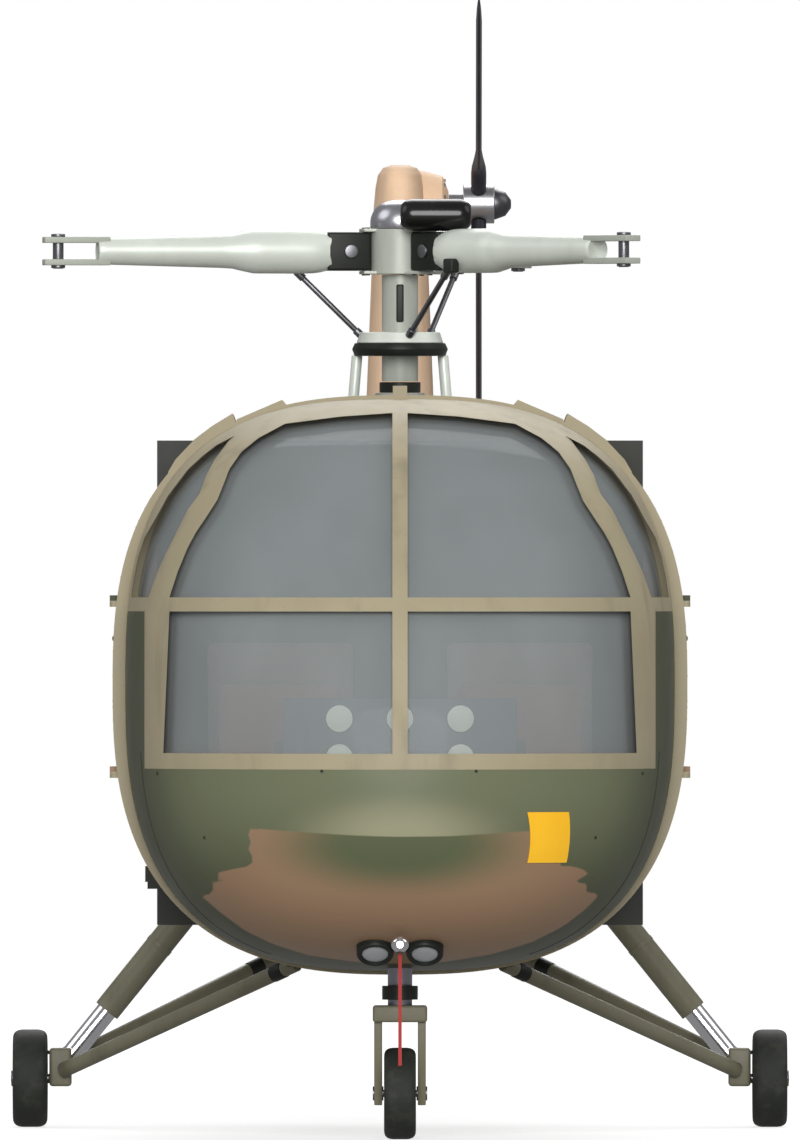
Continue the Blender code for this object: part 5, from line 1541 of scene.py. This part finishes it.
def make_swashplate():
    on_mast = Matrix.Translation((0, MAST_Y, 0))
    bore = 0.0675
    lower = (
        # radius, z
        (bore, 2.7052),
        (0.1560, 2.7052),
        (0.1590, 2.707),
        (0.1668, 2.726),
        (0.1668, 2.731),
        (0.1580, 2.7498),
        (bore, 2.7498),
    )
    ring = turned_mesh(lower, on_mast, 80, closed=True)
    piece("swash_ring_lower", ring, "airframe", LOOKS["black"], ("swashplate_lower",))
    rods = []
    for side in (-1, 1):
        top, foot = Vector((side * 0.1500, MAST_Y, 2.706)), Vector((side * 0.1700, MAST_Y, 2.472))
        rods.append(rod_mesh(foot, top, 0.0188, sides=32, bevel=0.002))
        rods.append(rod_mesh(top - Vector((0, 0, 0.004)), top + Vector((0, 0, 0.020)), 0.012, sides=24))
    piece("push_rods", merged(*rods), "airframe", LOOKS["alloy"])
    upper = (
        # radius, z
        (0.0640, 2.7503),
        (0.1500, 2.7503),
        (0.1512, 2.753),
        (0.1400, 2.786),
        (0.1370, 2.788),
        (0.0640, 2.788),
    )
    ring = turned_mesh(upper, on_mast, 80, closed=True)
    piece("swash_ring_upper", ring, "main_rotor", LOOKS["alloy"], ("swashplate_upper",))
    links = []
    for azimuth in ARM_AZIMUTHS:
        foot, horn = link_ends(azimuth)
        along = (horn - foot).normalized()
        links.append(rod_mesh(foot, horn - along * 0.020, 0.0098, sides=24, bevel=0.001))
        links.append(rod_mesh(foot - along * 0.002, foot + along * 0.030, 0.0140, sides=24, bevel=0.002))
        links.append(rod_mesh(horn - along * 0.060, horn - along * 0.024, 0.0140, sides=24, bevel=0.002))
    piece("pitch_links", merged(*links), "main_rotor", LOOKS["pin"])


# Tail

PYLON_SECTIONS = (
    # z, front edge, rear edge, half-thickness
    (1.860, 3.420, 4.620, 0.060),
    (2.000, 3.500, 4.640, 0.110),
    (2.260, 3.700, 4.660, 0.124),
    (2.594, 3.900, 4.680, 0.1225),
    (2.832, 4.000, 4.690, 0.113),
    (3.048, 4.060, 4.695, 0.1045),
    (3.276, 4.090, 4.690, 0.097),
    (3.360, 4.105, 4.675, 0.0895),
    (3.403, 4.125, 4.650, 0.081),
    (3.429, 4.160, 4.610, 0.062),
    (3.438, 4.210, 4.560, 0.035),
)
TAIL_GUARD = (
    (3.900, 1.950),
    (4.100, 1.700),
    (4.320, 1.520),
    (4.560, 1.430),
    (4.800, 1.430),
    (4.960, 1.490),
)
TAIL_ROTOR_Z = 3.297
TAIL_BLADE_X = 0.288
TAIL_BLADE_ANGLES = (40.5, 160.5, 280.5)


def boom_section(y, wall):
    share = (y - CENTRE_REAR_Y) / (BOOM_END_Y - CENTRE_REAR_Y)
    half_width = 0.340 + (0.120 - 0.340) * share - wall
    half_height = 0.400 + (0.170 - 0.400) * share - wall
    centre = 1.340 + (2.050 - 1.340) * share
    return half_width, half_height, centre


def boom_ring(y, grow=0.0, sides=72):
    half_width, half_height, centre = boom_section(y, -grow)
    ring = []
    for angle in ring_angles(sides):
        x = half_width * signed_power(math.cos(angle), 0.80)
        ring.append((x, y, centre + half_height * signed_power(math.sin(angle), 0.80)))
    return ring


def boom_mesh(stations):
    """A tube along the boom: stations are (y, growth)."""

    def build(shape):
        skin_rings(shape, [[shape.verts.new(point) for point in boom_ring(y, grow)] for y, grow in stations])

    return mesh_from(build)


def pylon_mesh(grow=0.0, around=64, between=4):
    def build(shape):
        rings = []
        levels = []
        for first, second in zip(PYLON_SECTIONS, PYLON_SECTIONS[1:]):
            for step in range(between):
                share = step / between
                levels.append([a + (b - a) * share for a, b in zip(first, second)])
        levels.append(list(PYLON_SECTIONS[-1]))
        for z, front, rear, half in levels:
            middle, reach = (front + rear) / 2, (rear - front) / 2 + grow
            ring = []
            for angle in ring_angles(around):
                y = middle + reach * signed_power(math.cos(angle), 0.85)
                ring.append(shape.verts.new(((half + grow) * signed_power(math.sin(angle), 0.80), y, z)))
            rings.append(ring)
        skin_rings(shape, rings)

    return mesh_from(build)


def make_tail():
    rear = BOOM_END_Y
    front = CENTRE_REAR_Y + 0.0003
    count = 24
    stations = [(front + (rear - front) * step / count, 0.0) for step in range(count + 1)]
    skin = combine(boom_mesh(stations), ("DIFFERENCE", pylon_mesh(0.0003)))
    piece("boom_skin", skin, "airframe", LOOKS["green"], ("tail_boom",))
    bands, heads = [], []
    for y in (-0.50, 0.45, 1.40, 2.30):
        bands.append(boom_mesh(((y, -0.001), (y + 0.002, 0.0022), (y + 0.040, 0.0022), (y + 0.042, -0.001))))
        for offset in (0.010, 0.032):
            for point in boom_ring(y + offset, 0.0022, 36):
                _, _, centre = boom_section(y + offset, 0)
                heads.append((point, Vector((point[0], 0, point[2] - centre)).normalized()))
    piece("boom_bands", merged(*bands), "airframe", LOOKS["green"])
    piece("boom_rivets", rivet_heads(heads, 0.005, 0.0018), "airframe", LOOKS["dark_green"])

    sideways = Matrix.Rotation(math.radians(90), 4, "Y")
    place = Matrix.Translation((0, TAIL_ROTOR_Y, TAIL_ROTOR_Z)) @ sideways
    gearbox = (
        # radius, x
        (0.0, 0.02),
        (0.126, 0.02),
        (0.124, 0.06),
        (0.120, 0.09),
        (0.103, 0.154),
        (0.098, 0.158),
        (0.050, 0.176),
        (0.045, 0.1777),
        (0.0, 0.1777),
    )
    guard = tube_mesh(smooth_path([(0, y, z) for y, z in TAIL_GUARD], 5), 0.0178, 24)
    fin = combine(pylon_mesh(), ("UNION", turned_mesh(gearbox, place, 64)))
    piece("pylon_skin", fin, "airframe", LOOKS["tan"], ("tail_pylon",))
    piece("tail_guard", guard, "airframe", LOOKS["tan"])
    bolts = []
    for step in range(10):
        angle = 2 * math.pi * (step + 0.5) / 10
        at = Vector((0.155, TAIL_ROTOR_Y + 0.086 * math.cos(angle), TAIL_ROTOR_Z + 0.086 * math.sin(angle)))
        bolts.append(rod_mesh(at, at + Vector((0.0125, 0, 0)), 0.007, sides=6, bevel=0.001))
    piece("tail_gearbox_bolts", merged(*bolts), "airframe", LOOKS["steel"])

    for side, label in ((-1, "right"), (1, "left")):
        inner = boom_section(3.0, 0.0)[0]
        section = []
        for step in range(40):
            angle = 2 * math.pi * step / 40
            chord = math.cos(angle)
            thick = 0.0178 * math.sin(angle) * (1 - 0.30 * chord)
            section.append((2.95 + 0.2095 * chord, 1.890 + thick))
        low, high = sorted((side * (inner - 0.02), side * 0.8000))
        plane = prism_mesh(section, "X", low, high)
        outline = rounded_outline((2.66, 1.640), (3.22, 2.170), 0.10, 8)
        low, high = sorted((side * 0.790, side * 0.815))
        plane = combine(plane, ("UNION", bevelled(prism_mesh(outline, "X", low, high), 0.006, 3)))
        boom_cut = boom_mesh([(2.5 + step * 0.1, 0.0003) for step in range(11)])
        plane = combine(plane, ("DIFFERENCE", boom_cut))
        name = f"stabiliser_{label}"
        piece(name, plane, "airframe", LOOKS["tan"], (f"tailplane_{label}",))

    hub = (
        # radius, x
        (0.0, 0.1785),
        (0.0400, 0.1785),
        (0.0405, 0.180),
        (0.0405, 0.2310),
        (0.0690, 0.2312),
        (0.0710, 0.234),
        (0.0710, 0.343),
        (0.0690, 0.3455),
        (0.0, 0.3455),
    )
    piece("tail_hub_drum", turned_mesh(hub, place, 64), "tail_rotor", LOOKS["steel"], ("tail_rotor_hub",))
    cap = ((0.0, 0.3457), (0.0565, 0.3457), (0.0570, 0.348), (0.0430, 0.386), (0.0150, 0.4065), (0.0, 0.407))
    piece("tail_hub_cap", turned_mesh(cap, place, 56), "tail_rotor", LOOKS["dark_steel"])
    blade = (
        # distance out, half-thickness, half-chord
        (0.0714, 0.028, 0.034),
        (0.150, 0.028, 0.034),
        (0.175, 0.026, 0.038),
        (0.205, 0.018, 0.056),
        (0.236, 0.011, 0.075),
        (0.550, 0.011, 0.075),
        (0.864, 0.011, 0.075),
        (0.905, 0.009, 0.068),
        (0.935, 0.006, 0.055),
        (0.956, 0.004, 0.030),
    )
    for number, angle in enumerate(TAIL_BLADE_ANGLES, 1):
        turn = Matrix.Rotation(math.radians(angle), 4, "X")
        shift = Matrix.Translation((TAIL_BLADE_X, TAIL_ROTOR_Y, TAIL_ROTOR_Z)) @ turn

        def build(shape):
            rings = []
            for radius, thick, chord in blade:
                ring = []
                for step in range(32):
                    around = 2 * math.pi * step / 32
                    point = Vector((thick * math.cos(around), chord * math.sin(around), radius))
                    ring.append(shape.verts.new(shift @ point))
                rings.append(ring)
            skin_rings(shape, rings)

        node = f"tail_blade_{number}"
        piece(f"tail_blade_skin_{number}", mesh_from(build), "tail_rotor", LOOKS["blade"], (node,))


# Centre section, engine and gearbox


def plate_mesh(side, low, high, radius, thick=0.003):
    """An access panel on a side of the centre section: corners in y, z."""
    outline = rounded_outline(low, high, radius, 5)
    near, far = sorted((side * 0.4995, side * (0.5005 + thick)))
    return bevelled(prism_mesh(outline, "X", near, far), 0.0012, 2)


def make_centre():
    low = (-0.500, BULKHEAD_Y + 0.0403, 0.630)
    high = (0.500, CENTRE_REAR_Y, 1.860)
    item = box_mesh(low, high, 0.050, 5)
    pivots = ((0.362, -2.140, 0.582, 0.027), (0.440, -0.812, 0.590, 0.026))
    for side in (-1, 1):
        for x, y, z, radius in pivots:
            near, far = sorted((side * (x - 0.035), side * (x + 0.035)))
            saddle = box_mesh((near, y - 0.035, z - 0.010), (far, y + 0.035, 0.650), 0.006)
            item = combine(item, ("UNION", saddle))
        for start, end, radius in gear_tubes(side):
            beyond = end + (end - start).normalized() * 0.0003
            item = combine(item, ("DIFFERENCE", rod_mesh(start, beyond, radius + 0.0003, sides=40)))
    piece("centre_skin", item, "airframe", LOOKS["green"], ("centre_section",))
    doors = (
        # front y, rear y, low z, high z
        (-2.36, -1.86, 1.22, 1.74),
        (-1.80, -0.74, 1.22, 1.74),
        (-2.36, -1.62, 0.74, 1.14),
        (-1.50, -0.74, 0.74, 1.14),
    )
    panels, heads = [], []
    for side in (-1, 1):
        for front, rear, base, top in doors:
            if base < 1.0 and front < MAIN_AXLE_Y < rear:
                top = 1.00
            panels.append(plate_mesh(side, (front, base), (rear, top), 0.05))
            for step in range(9):
                y = front + 0.03 + (rear - front - 0.06) * step / 8
                for z in (base + 0.02, top - 0.02):
                    heads.append(((side * 0.5035, y, z), (side, 0, 0)))
            for step in range(1, 6):
                z = base + 0.02 + (top - base - 0.04) * step / 6
                for y in (front + 0.02, rear - 0.02):
                    heads.append(((side * 0.5035, y, z), (side, 0, 0)))
    piece("access_panels", merged(*panels), "airframe", LOOKS["green"])
    piece("panel_fasteners", rivet_heads(heads, 0.006, 0.0018), "airframe", LOOKS["steel"])

    seat = Matrix.Translation((0, MAST_Y, 0))
    profile = (
        # radius, z
        (0.0, 1.8603),
        (0.280, 1.8603),
        (0.285, 1.865),
        (0.285, 1.880),
        (0.262, 1.886),
        (0.262, 1.918),
        (0.285, 1.924),
        (0.285, 1.938),
        (0.240, 1.956),
        (0.235, 1.975),
        (0.235, 2.120),
        (0.2352, 2.180),
        (0.228, 2.186),
        (0.228, 2.240),
        (0.2352, 2.246),
        (0.235, 2.460),
        (0.228, 2.469),
        (0.125, 2.470),
        (0.118, 2.490),
        (0.090, 2.560),
        (0.085, 2.5757),
        (0.0, 2.5757),
    )
    piece("gearbox_case", turned_mesh(profile, seat, 80), "airframe", LOOKS["case"], ("main_gearbox",))
    bolts, ribs = [], []
    for step in range(20):
        turn = Matrix.Rotation(2 * math.pi * (step + 0.5) / 20, 4, "Z")
        bolts.append(moved(rod_mesh((0.273, 0, 1.936), (0.273, 0, 1.948), 0.008, sides=6, bevel=0.001), seat @ turn))
    for step in range(12):
        turn = Matrix.Rotation(2 * math.pi * (step + 0.5) / 12, 4, "Z")
        rib = box_mesh((0.226, -0.004, 1.985), (0.2345, 0.004, 2.165), 0.001)
        ribs.append(moved(rib, seat @ turn))
    piece("gearbox_bolts", merged(*bolts), "airframe", LOOKS["steel"])

    lying = Matrix.Rotation(math.radians(-90), 4, "X")
    engine_y = MAST_Y + 0.235 + 0.0003
    place = Matrix.Translation((0, engine_y, 2.130)) @ lying
    profile = (
        # radius, distance aft of the gearbox
        (0.0, 0.0003),
        (0.108, 0.0003),
        (0.110, 0.003),
        (0.196, 0.096),
        (0.200, 0.104),
        (0.200, 0.150),
        (0.196, 0.153),
        (0.196, 0.170),
        (0.200, 0.173),
        (0.200, 0.298),
        (0.245, 0.336),
        (0.262, 0.358),
        (0.265, 0.364),
        (0.265, 0.430),
        (0.258, 0.434),
        (0.258, 0.470),
        (0.265, 0.474),
        (0.265, 0.780),
        (0.258, 0.784),
        (0.258, 0.812),
        (0.265, 0.816),
        (0.265, 0.876),
        (0.258, 0.890),
        (0.192, 0.996),
        (0.190, 1.004),
        (0.190, 1.176),
        (0.186, 1.1797),
        (0.0, 1.1797),
    )
    piece("engine_case", turned_mesh(profile, place, 80), "airframe", LOOKS["engine"], ("engine",))
    pipes, bolts = [], []
    for radius, along, number in ((0.267, 0.452, 24), (0.267, 0.798, 24), (0.202, 0.1615, 18)):
        for step in range(number):
            angle = 2 * math.pi * (step + 0.5) / number
            at = Vector((radius * math.cos(angle), engine_y + along, 2.130 + radius * math.sin(angle)))
            out = Vector((math.cos(angle), 0, math.sin(angle)))
            bolts.append(rod_mesh(at - out * 0.012, at - out * 0.001, 0.006, sides=6))
    for side in (-1, 1):
        route = (
            (side * 0.19, engine_y + 0.24, 2.05),
            (side * 0.27, engine_y + 0.34, 2.03),
            (side * 0.283, engine_y + 0.60, 2.06),
            (side * 0.270, engine_y + 0.86, 2.06),
            (side * 0.180, engine_y + 1.00, 2.08),
        )
        pipes.append(tube_mesh(smooth_path(route, 8), 0.012, 16))
    piece("engine_pipes", merged(*pipes), "airframe", LOOKS["steel"])
    piece("engine_bolts", merged(*bolts), "airframe", LOOKS["dark_steel"])
    mounts = []
    for mount_y in (-1.50, -0.95):
        mounts.append(box_mesh((-0.17, mount_y, 1.8604), (0.17, mount_y + 0.05, 1.890), 0.004))
        for side in (-1, 1):
            foot, top = (side * 0.155, mount_y + 0.025, 1.875), (side * 0.120, mount_y + 0.025, 2.000)
            mounts.append(rod_mesh(foot, top, 0.014, sides=24))
    piece("engine_mounts", merged(*mounts), "airframe", LOOKS["gear"])

    pipe_y = engine_y + 1.18 + 0.0003
    wall = (
        # radius, distance aft: a thin tube with a rolled lip and a closed front
        (0.0, 0.0),
        (0.1640, 0.0),
        (0.1650, 0.004),
        (0.1650, 0.408),
        (0.1640, 0.417),
        (0.1575, 0.4200),
        (0.1510, 0.417),
        (0.1500, 0.408),
        (0.1500, 0.020),
        (0.0, 0.020),
    )
    place = Matrix.Translation((0, pipe_y, 2.130)) @ lying
    piece("jet_pipe", turned_mesh(wall, place, 72), "airframe", LOOKS["bronze"], ("exhaust_pipe",))


# Undercarriage

GEAR_PIVOTS = (
    # x, y, z of the tube's end, tube radius
    (0.362, -2.140, 0.582, 0.027),
    (0.440, -0.812, 0.590, 0.026),
)
GEAR_FEET = (
    # x, distance behind the axle, z
    (1.183, -0.072, 0.200),
    (1.170, 0.070, 0.232),
)
AXLE_MAIN_Z = 0.1714
AXLE_NOSE_Z = 0.1575


def gear_tubes(side):
    tubes = []
    for (top_x, top_y, top_z, radius), (x, behind, z) in zip(GEAR_PIVOTS, GEAR_FEET):
        foot = Vector((side * x, MAIN_AXLE_Y + behind, z))
        tubes.append((foot, Vector((side * top_x, top_y, top_z)), radius))
    return tubes


def make_main_gear():
    for side, label in ((-1, "right"), (1, "left")):
        near, far = sorted((side * 1.154, side * 1.232))
        knuckle = box_mesh((near, MAIN_AXLE_Y - 0.060, 0.143), (far, MAIN_AXLE_Y + 0.060, 0.278), 0.012, 4)
        tubes, tips = [], []
        for start, end, radius in gear_tubes(side):
            tubes.append(rod_mesh(start, end, radius, sides=48, bevel=0.002))
            along = (end - start).normalized()
            tips.append(rod_mesh(end - along * 0.115, end - along * 0.060, radius + 0.0022, sides=40, bevel=0.001))
        node = f"gear_leg_{label}"
        piece(f"leg_tubes_{label}", merged(*tubes), "airframe", LOOKS["gear"], (node,))
        piece(f"leg_knuckle_{label}", knuckle, "airframe", LOOKS["gear"])
        piece(f"leg_bands_{label}", merged(*tips), "airframe", LOOKS["black"])
        axle = [rod_mesh((side * 1.225, MAIN_AXLE_Y, AXLE_MAIN_Z), (side * 1.366, MAIN_AXLE_Y, AXLE_MAIN_Z), 0.0158)]
        axle.append(
            rod_mesh((side * 1.342, MAIN_AXLE_Y, AXLE_MAIN_Z), (side * 1.3665, MAIN_AXLE_Y, AXLE_MAIN_Z), 0.0290, bevel=0.004)
        )
        axle.append(rod_mesh((side * 1.365, MAIN_AXLE_Y, AXLE_MAIN_Z), (side * 1.3675, MAIN_AXLE_Y, AXLE_MAIN_Z), 0.012))
        piece(f"axle_{label}", merged(*axle), "airframe", LOOKS["pin"])

        lower, top = Vector((side * 1.031, MAIN_AXLE_Y, 0.408)), Vector((side * 0.470, MAIN_AXLE_Y, 1.1055))
        axis = (top - lower).normalized()
        trim = box_mesh((-0.5003, MAIN_AXLE_Y - 0.2, 0.70), (0.5003, MAIN_AXLE_Y + 0.2, 1.60))
        knuckle_low, knuckle_high = sorted((side * 1.1537, side * 1.30))
        space = box_mesh((knuckle_low, MAIN_AXLE_Y - 0.10, 0.05), (knuckle_high, MAIN_AXLE_Y + 0.10, 0.2783))
        bore = rod_mesh(lower - axis * 0.05, lower + axis * 0.1003, 0.0373, sides=56)
        tube = combine(rod_mesh(lower, top, 0.0475, sides=56, bevel=0.003), ("DIFFERENCE", trim), ("DIFFERENCE", bore))
        piece(f"oleo_tube_{label}", tube, "airframe", LOOKS["gear"], (f"oleo_cylinder_{label}",))
        rod = combine(rod_mesh(lower - axis * 0.240, lower + axis * 0.10, 0.037, sides=56), ("DIFFERENCE", space))
        piece(f"oleo_rod_{label}", rod, "airframe", LOOKS["chrome"], (f"oleo_piston_{label}",))
        band = []
        for share in (0.33, 0.62):
            at = lower + (top - lower) * share
            band.append(rod_mesh(at - axis * 0.009, at + axis * 0.009, 0.0492, sides=48, bevel=0.001))
        route = [lower + axis * 0.30 + Vector((0, 0.050, 0.0)), lower + axis * 0.10 + Vector((0, 0.062, 0.0))]
        route.append(lower - axis * 0.06 + Vector((0, 0.066, 0.0)))
        route.append(Vector((side * 1.19, MAIN_AXLE_Y + 0.066, 0.268)))
        piece(f"oleo_bands_{label}", merged(*band), "airframe", LOOKS["gear"])
        hose = tube_mesh(smooth_path(route, 8), 0.0055, 12)
        piece(f"brake_pipe_{label}", hose, "airframe", LOOKS["dark_steel"])
        bolts = []
        for y in (-0.042, 0.042):
            for z in (0.160, 0.262):
                start = Vector((side * 1.232, MAIN_AXLE_Y + y, z))
                bolts.append(rod_mesh(start, start + Vector((side * 0.006, 0, 0)), 0.007, sides=6, bevel=0.001))
        piece(f"knuckle_bolts_{label}", merged(*bolts), "airframe", LOOKS["dark_steel"])


def make_nose_gear():
    place = Matrix.Translation((0, NOSE_STRUT_Y, 0))
    strut = ((0.0, 0.4615), (0.0415, 0.4615), (0.0420, 0.463), (0.0420, 0.7797), (0.0, 0.7797))
    piece("strut_tube", turned_mesh(strut, place, 56), "airframe", LOOKS["strut"], ("nose_strut",))
    collar = (
        (0.0425, 0.4805),
        (0.0600, 0.4805),
        (0.0615, 0.482),
        (0.0615, 0.5265),
        (0.0600, 0.528),
        (0.0425, 0.528),
    )
    piece("strut_collar", turned_mesh(collar, place, 56, closed=True), "airframe", LOOKS["black"])
    axle_y = NOSE_STRUT_Y + 0.050
    crown = box_mesh((-0.094, NOSE_STRUT_Y - 0.050, 0.403), (0.094, NOSE_STRUT_Y + 0.075, 0.461), 0.010, 4)
    arms = []
    for side in (-1, 1):
        near, far = sorted((side * 0.061, side * 0.089))
        outline = [
            (NOSE_STRUT_Y - 0.030, 0.410),
            (NOSE_STRUT_Y + 0.060, 0.410),
            (axle_y + 0.030, 0.117),
            (axle_y - 0.030, 0.117),
        ]
        arms.append(bevelled(prism_mesh(outline, "X", near, far), 0.003, 2))
    piece("fork_crown", crown, "nose_castor", LOOKS["gear"], ("nose_fork",))
    piece("fork_arms", merged(*arms), "nose_castor", LOOKS["gear"])
    axle = [rod_mesh((-0.092, axle_y, AXLE_NOSE_Z), (0.092, axle_y, AXLE_NOSE_Z), 0.0123)]
    for side in (-1, 1):
        axle.append(rod_mesh((side * 0.0885, axle_y, AXLE_NOSE_Z), (side * 0.0939, axle_y, AXLE_NOSE_Z), 0.0245, bevel=0.001))
        axle.append(rod_mesh((side * 0.0568, axle_y, AXLE_NOSE_Z), (side * 0.0612, axle_y, AXLE_NOSE_Z), 0.0245, bevel=0.001))
    piece("nose_axle", merged(*axle), "nose_castor", LOOKS["pin"])


def make_wheels():
    for name, body, centre, radius, width, bead in WHEELS:
        half = width / 2
        place = Matrix.Translation(centre) @ Matrix.Rotation(math.radians(90), 4, "Y")
        ground = centre[2] / radius
        size = radius * min(1.0, ground + 0.0003)
        outer = [
            # radius, offset across the wheel
            (bead, half * 0.72),
            (size * 0.64, half * 0.90),
            (size * 0.70, half * 0.985),
            (size * 0.715, half * 0.955),
            (size * 0.73, half * 0.990),
            (size * 0.80, half),
            (size * 0.87, half * 0.985),
            (size * 0.925, half * 0.925),
            (size * 0.965, half * 0.810),
            (size * 0.990, half * 0.640),
            (size, half * 0.440),
        ]
        profile = outer + [(ring, -offset) for ring, offset in reversed(outer)]
        tyre = turned_mesh(profile, place, 112, closed=True)
        piece(f"{name}_tyre_skin", tyre, body, LOOKS["rubber"], (f"{name}_tyre",), smooth=50)
        bore = 0.0128 if name == "nose" else 0.0163
        hub = (
            # radius, offset
            (bore, half * 0.55),
            (bore + 0.012, half * 0.55),
            (bore + 0.016, half * 0.46),
            (bead * 0.55, half * 0.26),
            (bead * 0.84, half * 0.24),
            (bead * 0.92, half * 0.60),
            (bead - 0.0003, half * 0.66),
            (bead - 0.0003, -half * 0.66),
            (bead * 0.92, -half * 0.60),
            (bead * 0.84, -half * 0.24),
            (bead * 0.55, -half * 0.26),
            (bore + 0.016, -half * 0.46),
            (bore + 0.012, -half * 0.55),
            (bore, -half * 0.55),
        )
        rim = turned_mesh(hub, place, 80, closed=True)
        piece(f"{name}_rim_skin", rim, body, LOOKS["gear"], (f"{name}_rim",))
        bolts = []
        for step in range(8):
            turn = place @ Matrix.Rotation(2 * math.pi * step / 8, 4, "Z")
            for sign in (-1, 1):
                low, high = sorted((sign * half * 0.20, sign * (half * 0.25 + 0.007)))
                head = rod_mesh((bead * 0.68, 0, low), (bead * 0.68, 0, high), 0.006, sides=6, bevel=0.001)
                bolts.append(moved(head, turn))
        piece(f"{name}_rim_bolts", merged(*bolts), body, LOOKS["steel"])


CAD_LOOKS = (
    # look, smooth angle, nodes
    ("panel", 30, ("cabin_bulkhead", "cabin_floor")),
)


def smooth_group():
    """Nodes that weld a faceted solid and shade it smooth below an edge angle."""
    group = bpy.data.node_groups.new("smooth_by_angle", "GeometryNodeTree")
    group.interface.new_socket("Geometry", in_out="INPUT", socket_type="NodeSocketGeometry")
    group.interface.new_socket("Angle", in_out="INPUT", socket_type="NodeSocketFloat")
    group.interface.new_socket("Geometry", in_out="OUTPUT", socket_type="NodeSocketGeometry")
    start = group.nodes.new("NodeGroupInput")
    end = group.nodes.new("NodeGroupOutput")
    weld = group.nodes.new("GeometryNodeMergeByDistance")
    weld.inputs["Distance"].default_value = 0.00002
    faces = group.nodes.new("GeometryNodeSetShadeSmooth")
    faces.domain = "FACE"
    edges = group.nodes.new("GeometryNodeSetShadeSmooth")
    edges.domain = "EDGE"
    angle = group.nodes.new("GeometryNodeInputMeshEdgeAngle")
    small = group.nodes.new("FunctionNodeCompare")
    small.data_type = "FLOAT"
    small.operation = "LESS_THAN"
    links = group.links
    links.new(start.outputs["Geometry"], weld.inputs["Geometry"])
    links.new(weld.outputs["Geometry"], faces.inputs["Geometry"])
    links.new(faces.outputs["Geometry"], edges.inputs["Geometry"])
    links.new(angle.outputs["Unsigned Angle"], small.inputs["A"])
    links.new(start.outputs["Angle"], small.inputs["B"])
    links.new(small.outputs["Result"], edges.inputs["Shade Smooth"])
    links.new(edges.outputs["Geometry"], end.inputs["Geometry"])
    return group


def dress_cad():
    group = smooth_group()
    angle_socket = next(item.identifier for item in group.interface.items_tree if item.name == "Angle")
    for look, angle, nodes in CAD_LOOKS:
        for name in nodes:
            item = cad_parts[name]
            item.data.materials.clear()
            item.data.materials.append(LOOKS[look])
            modifier = item.modifiers.new("smooth", "NODES")
            modifier.node_group = group
            modifier[angle_socket] = math.radians(angle)


make_stage()
dress_cad()
make_nose()
make_nose_fittings()
make_cabin()
make_seats()
make_console()
make_rotor_head()
make_swashplate()
make_tail()
make_centre()
make_main_gear()
make_nose_gear()
make_wheels()
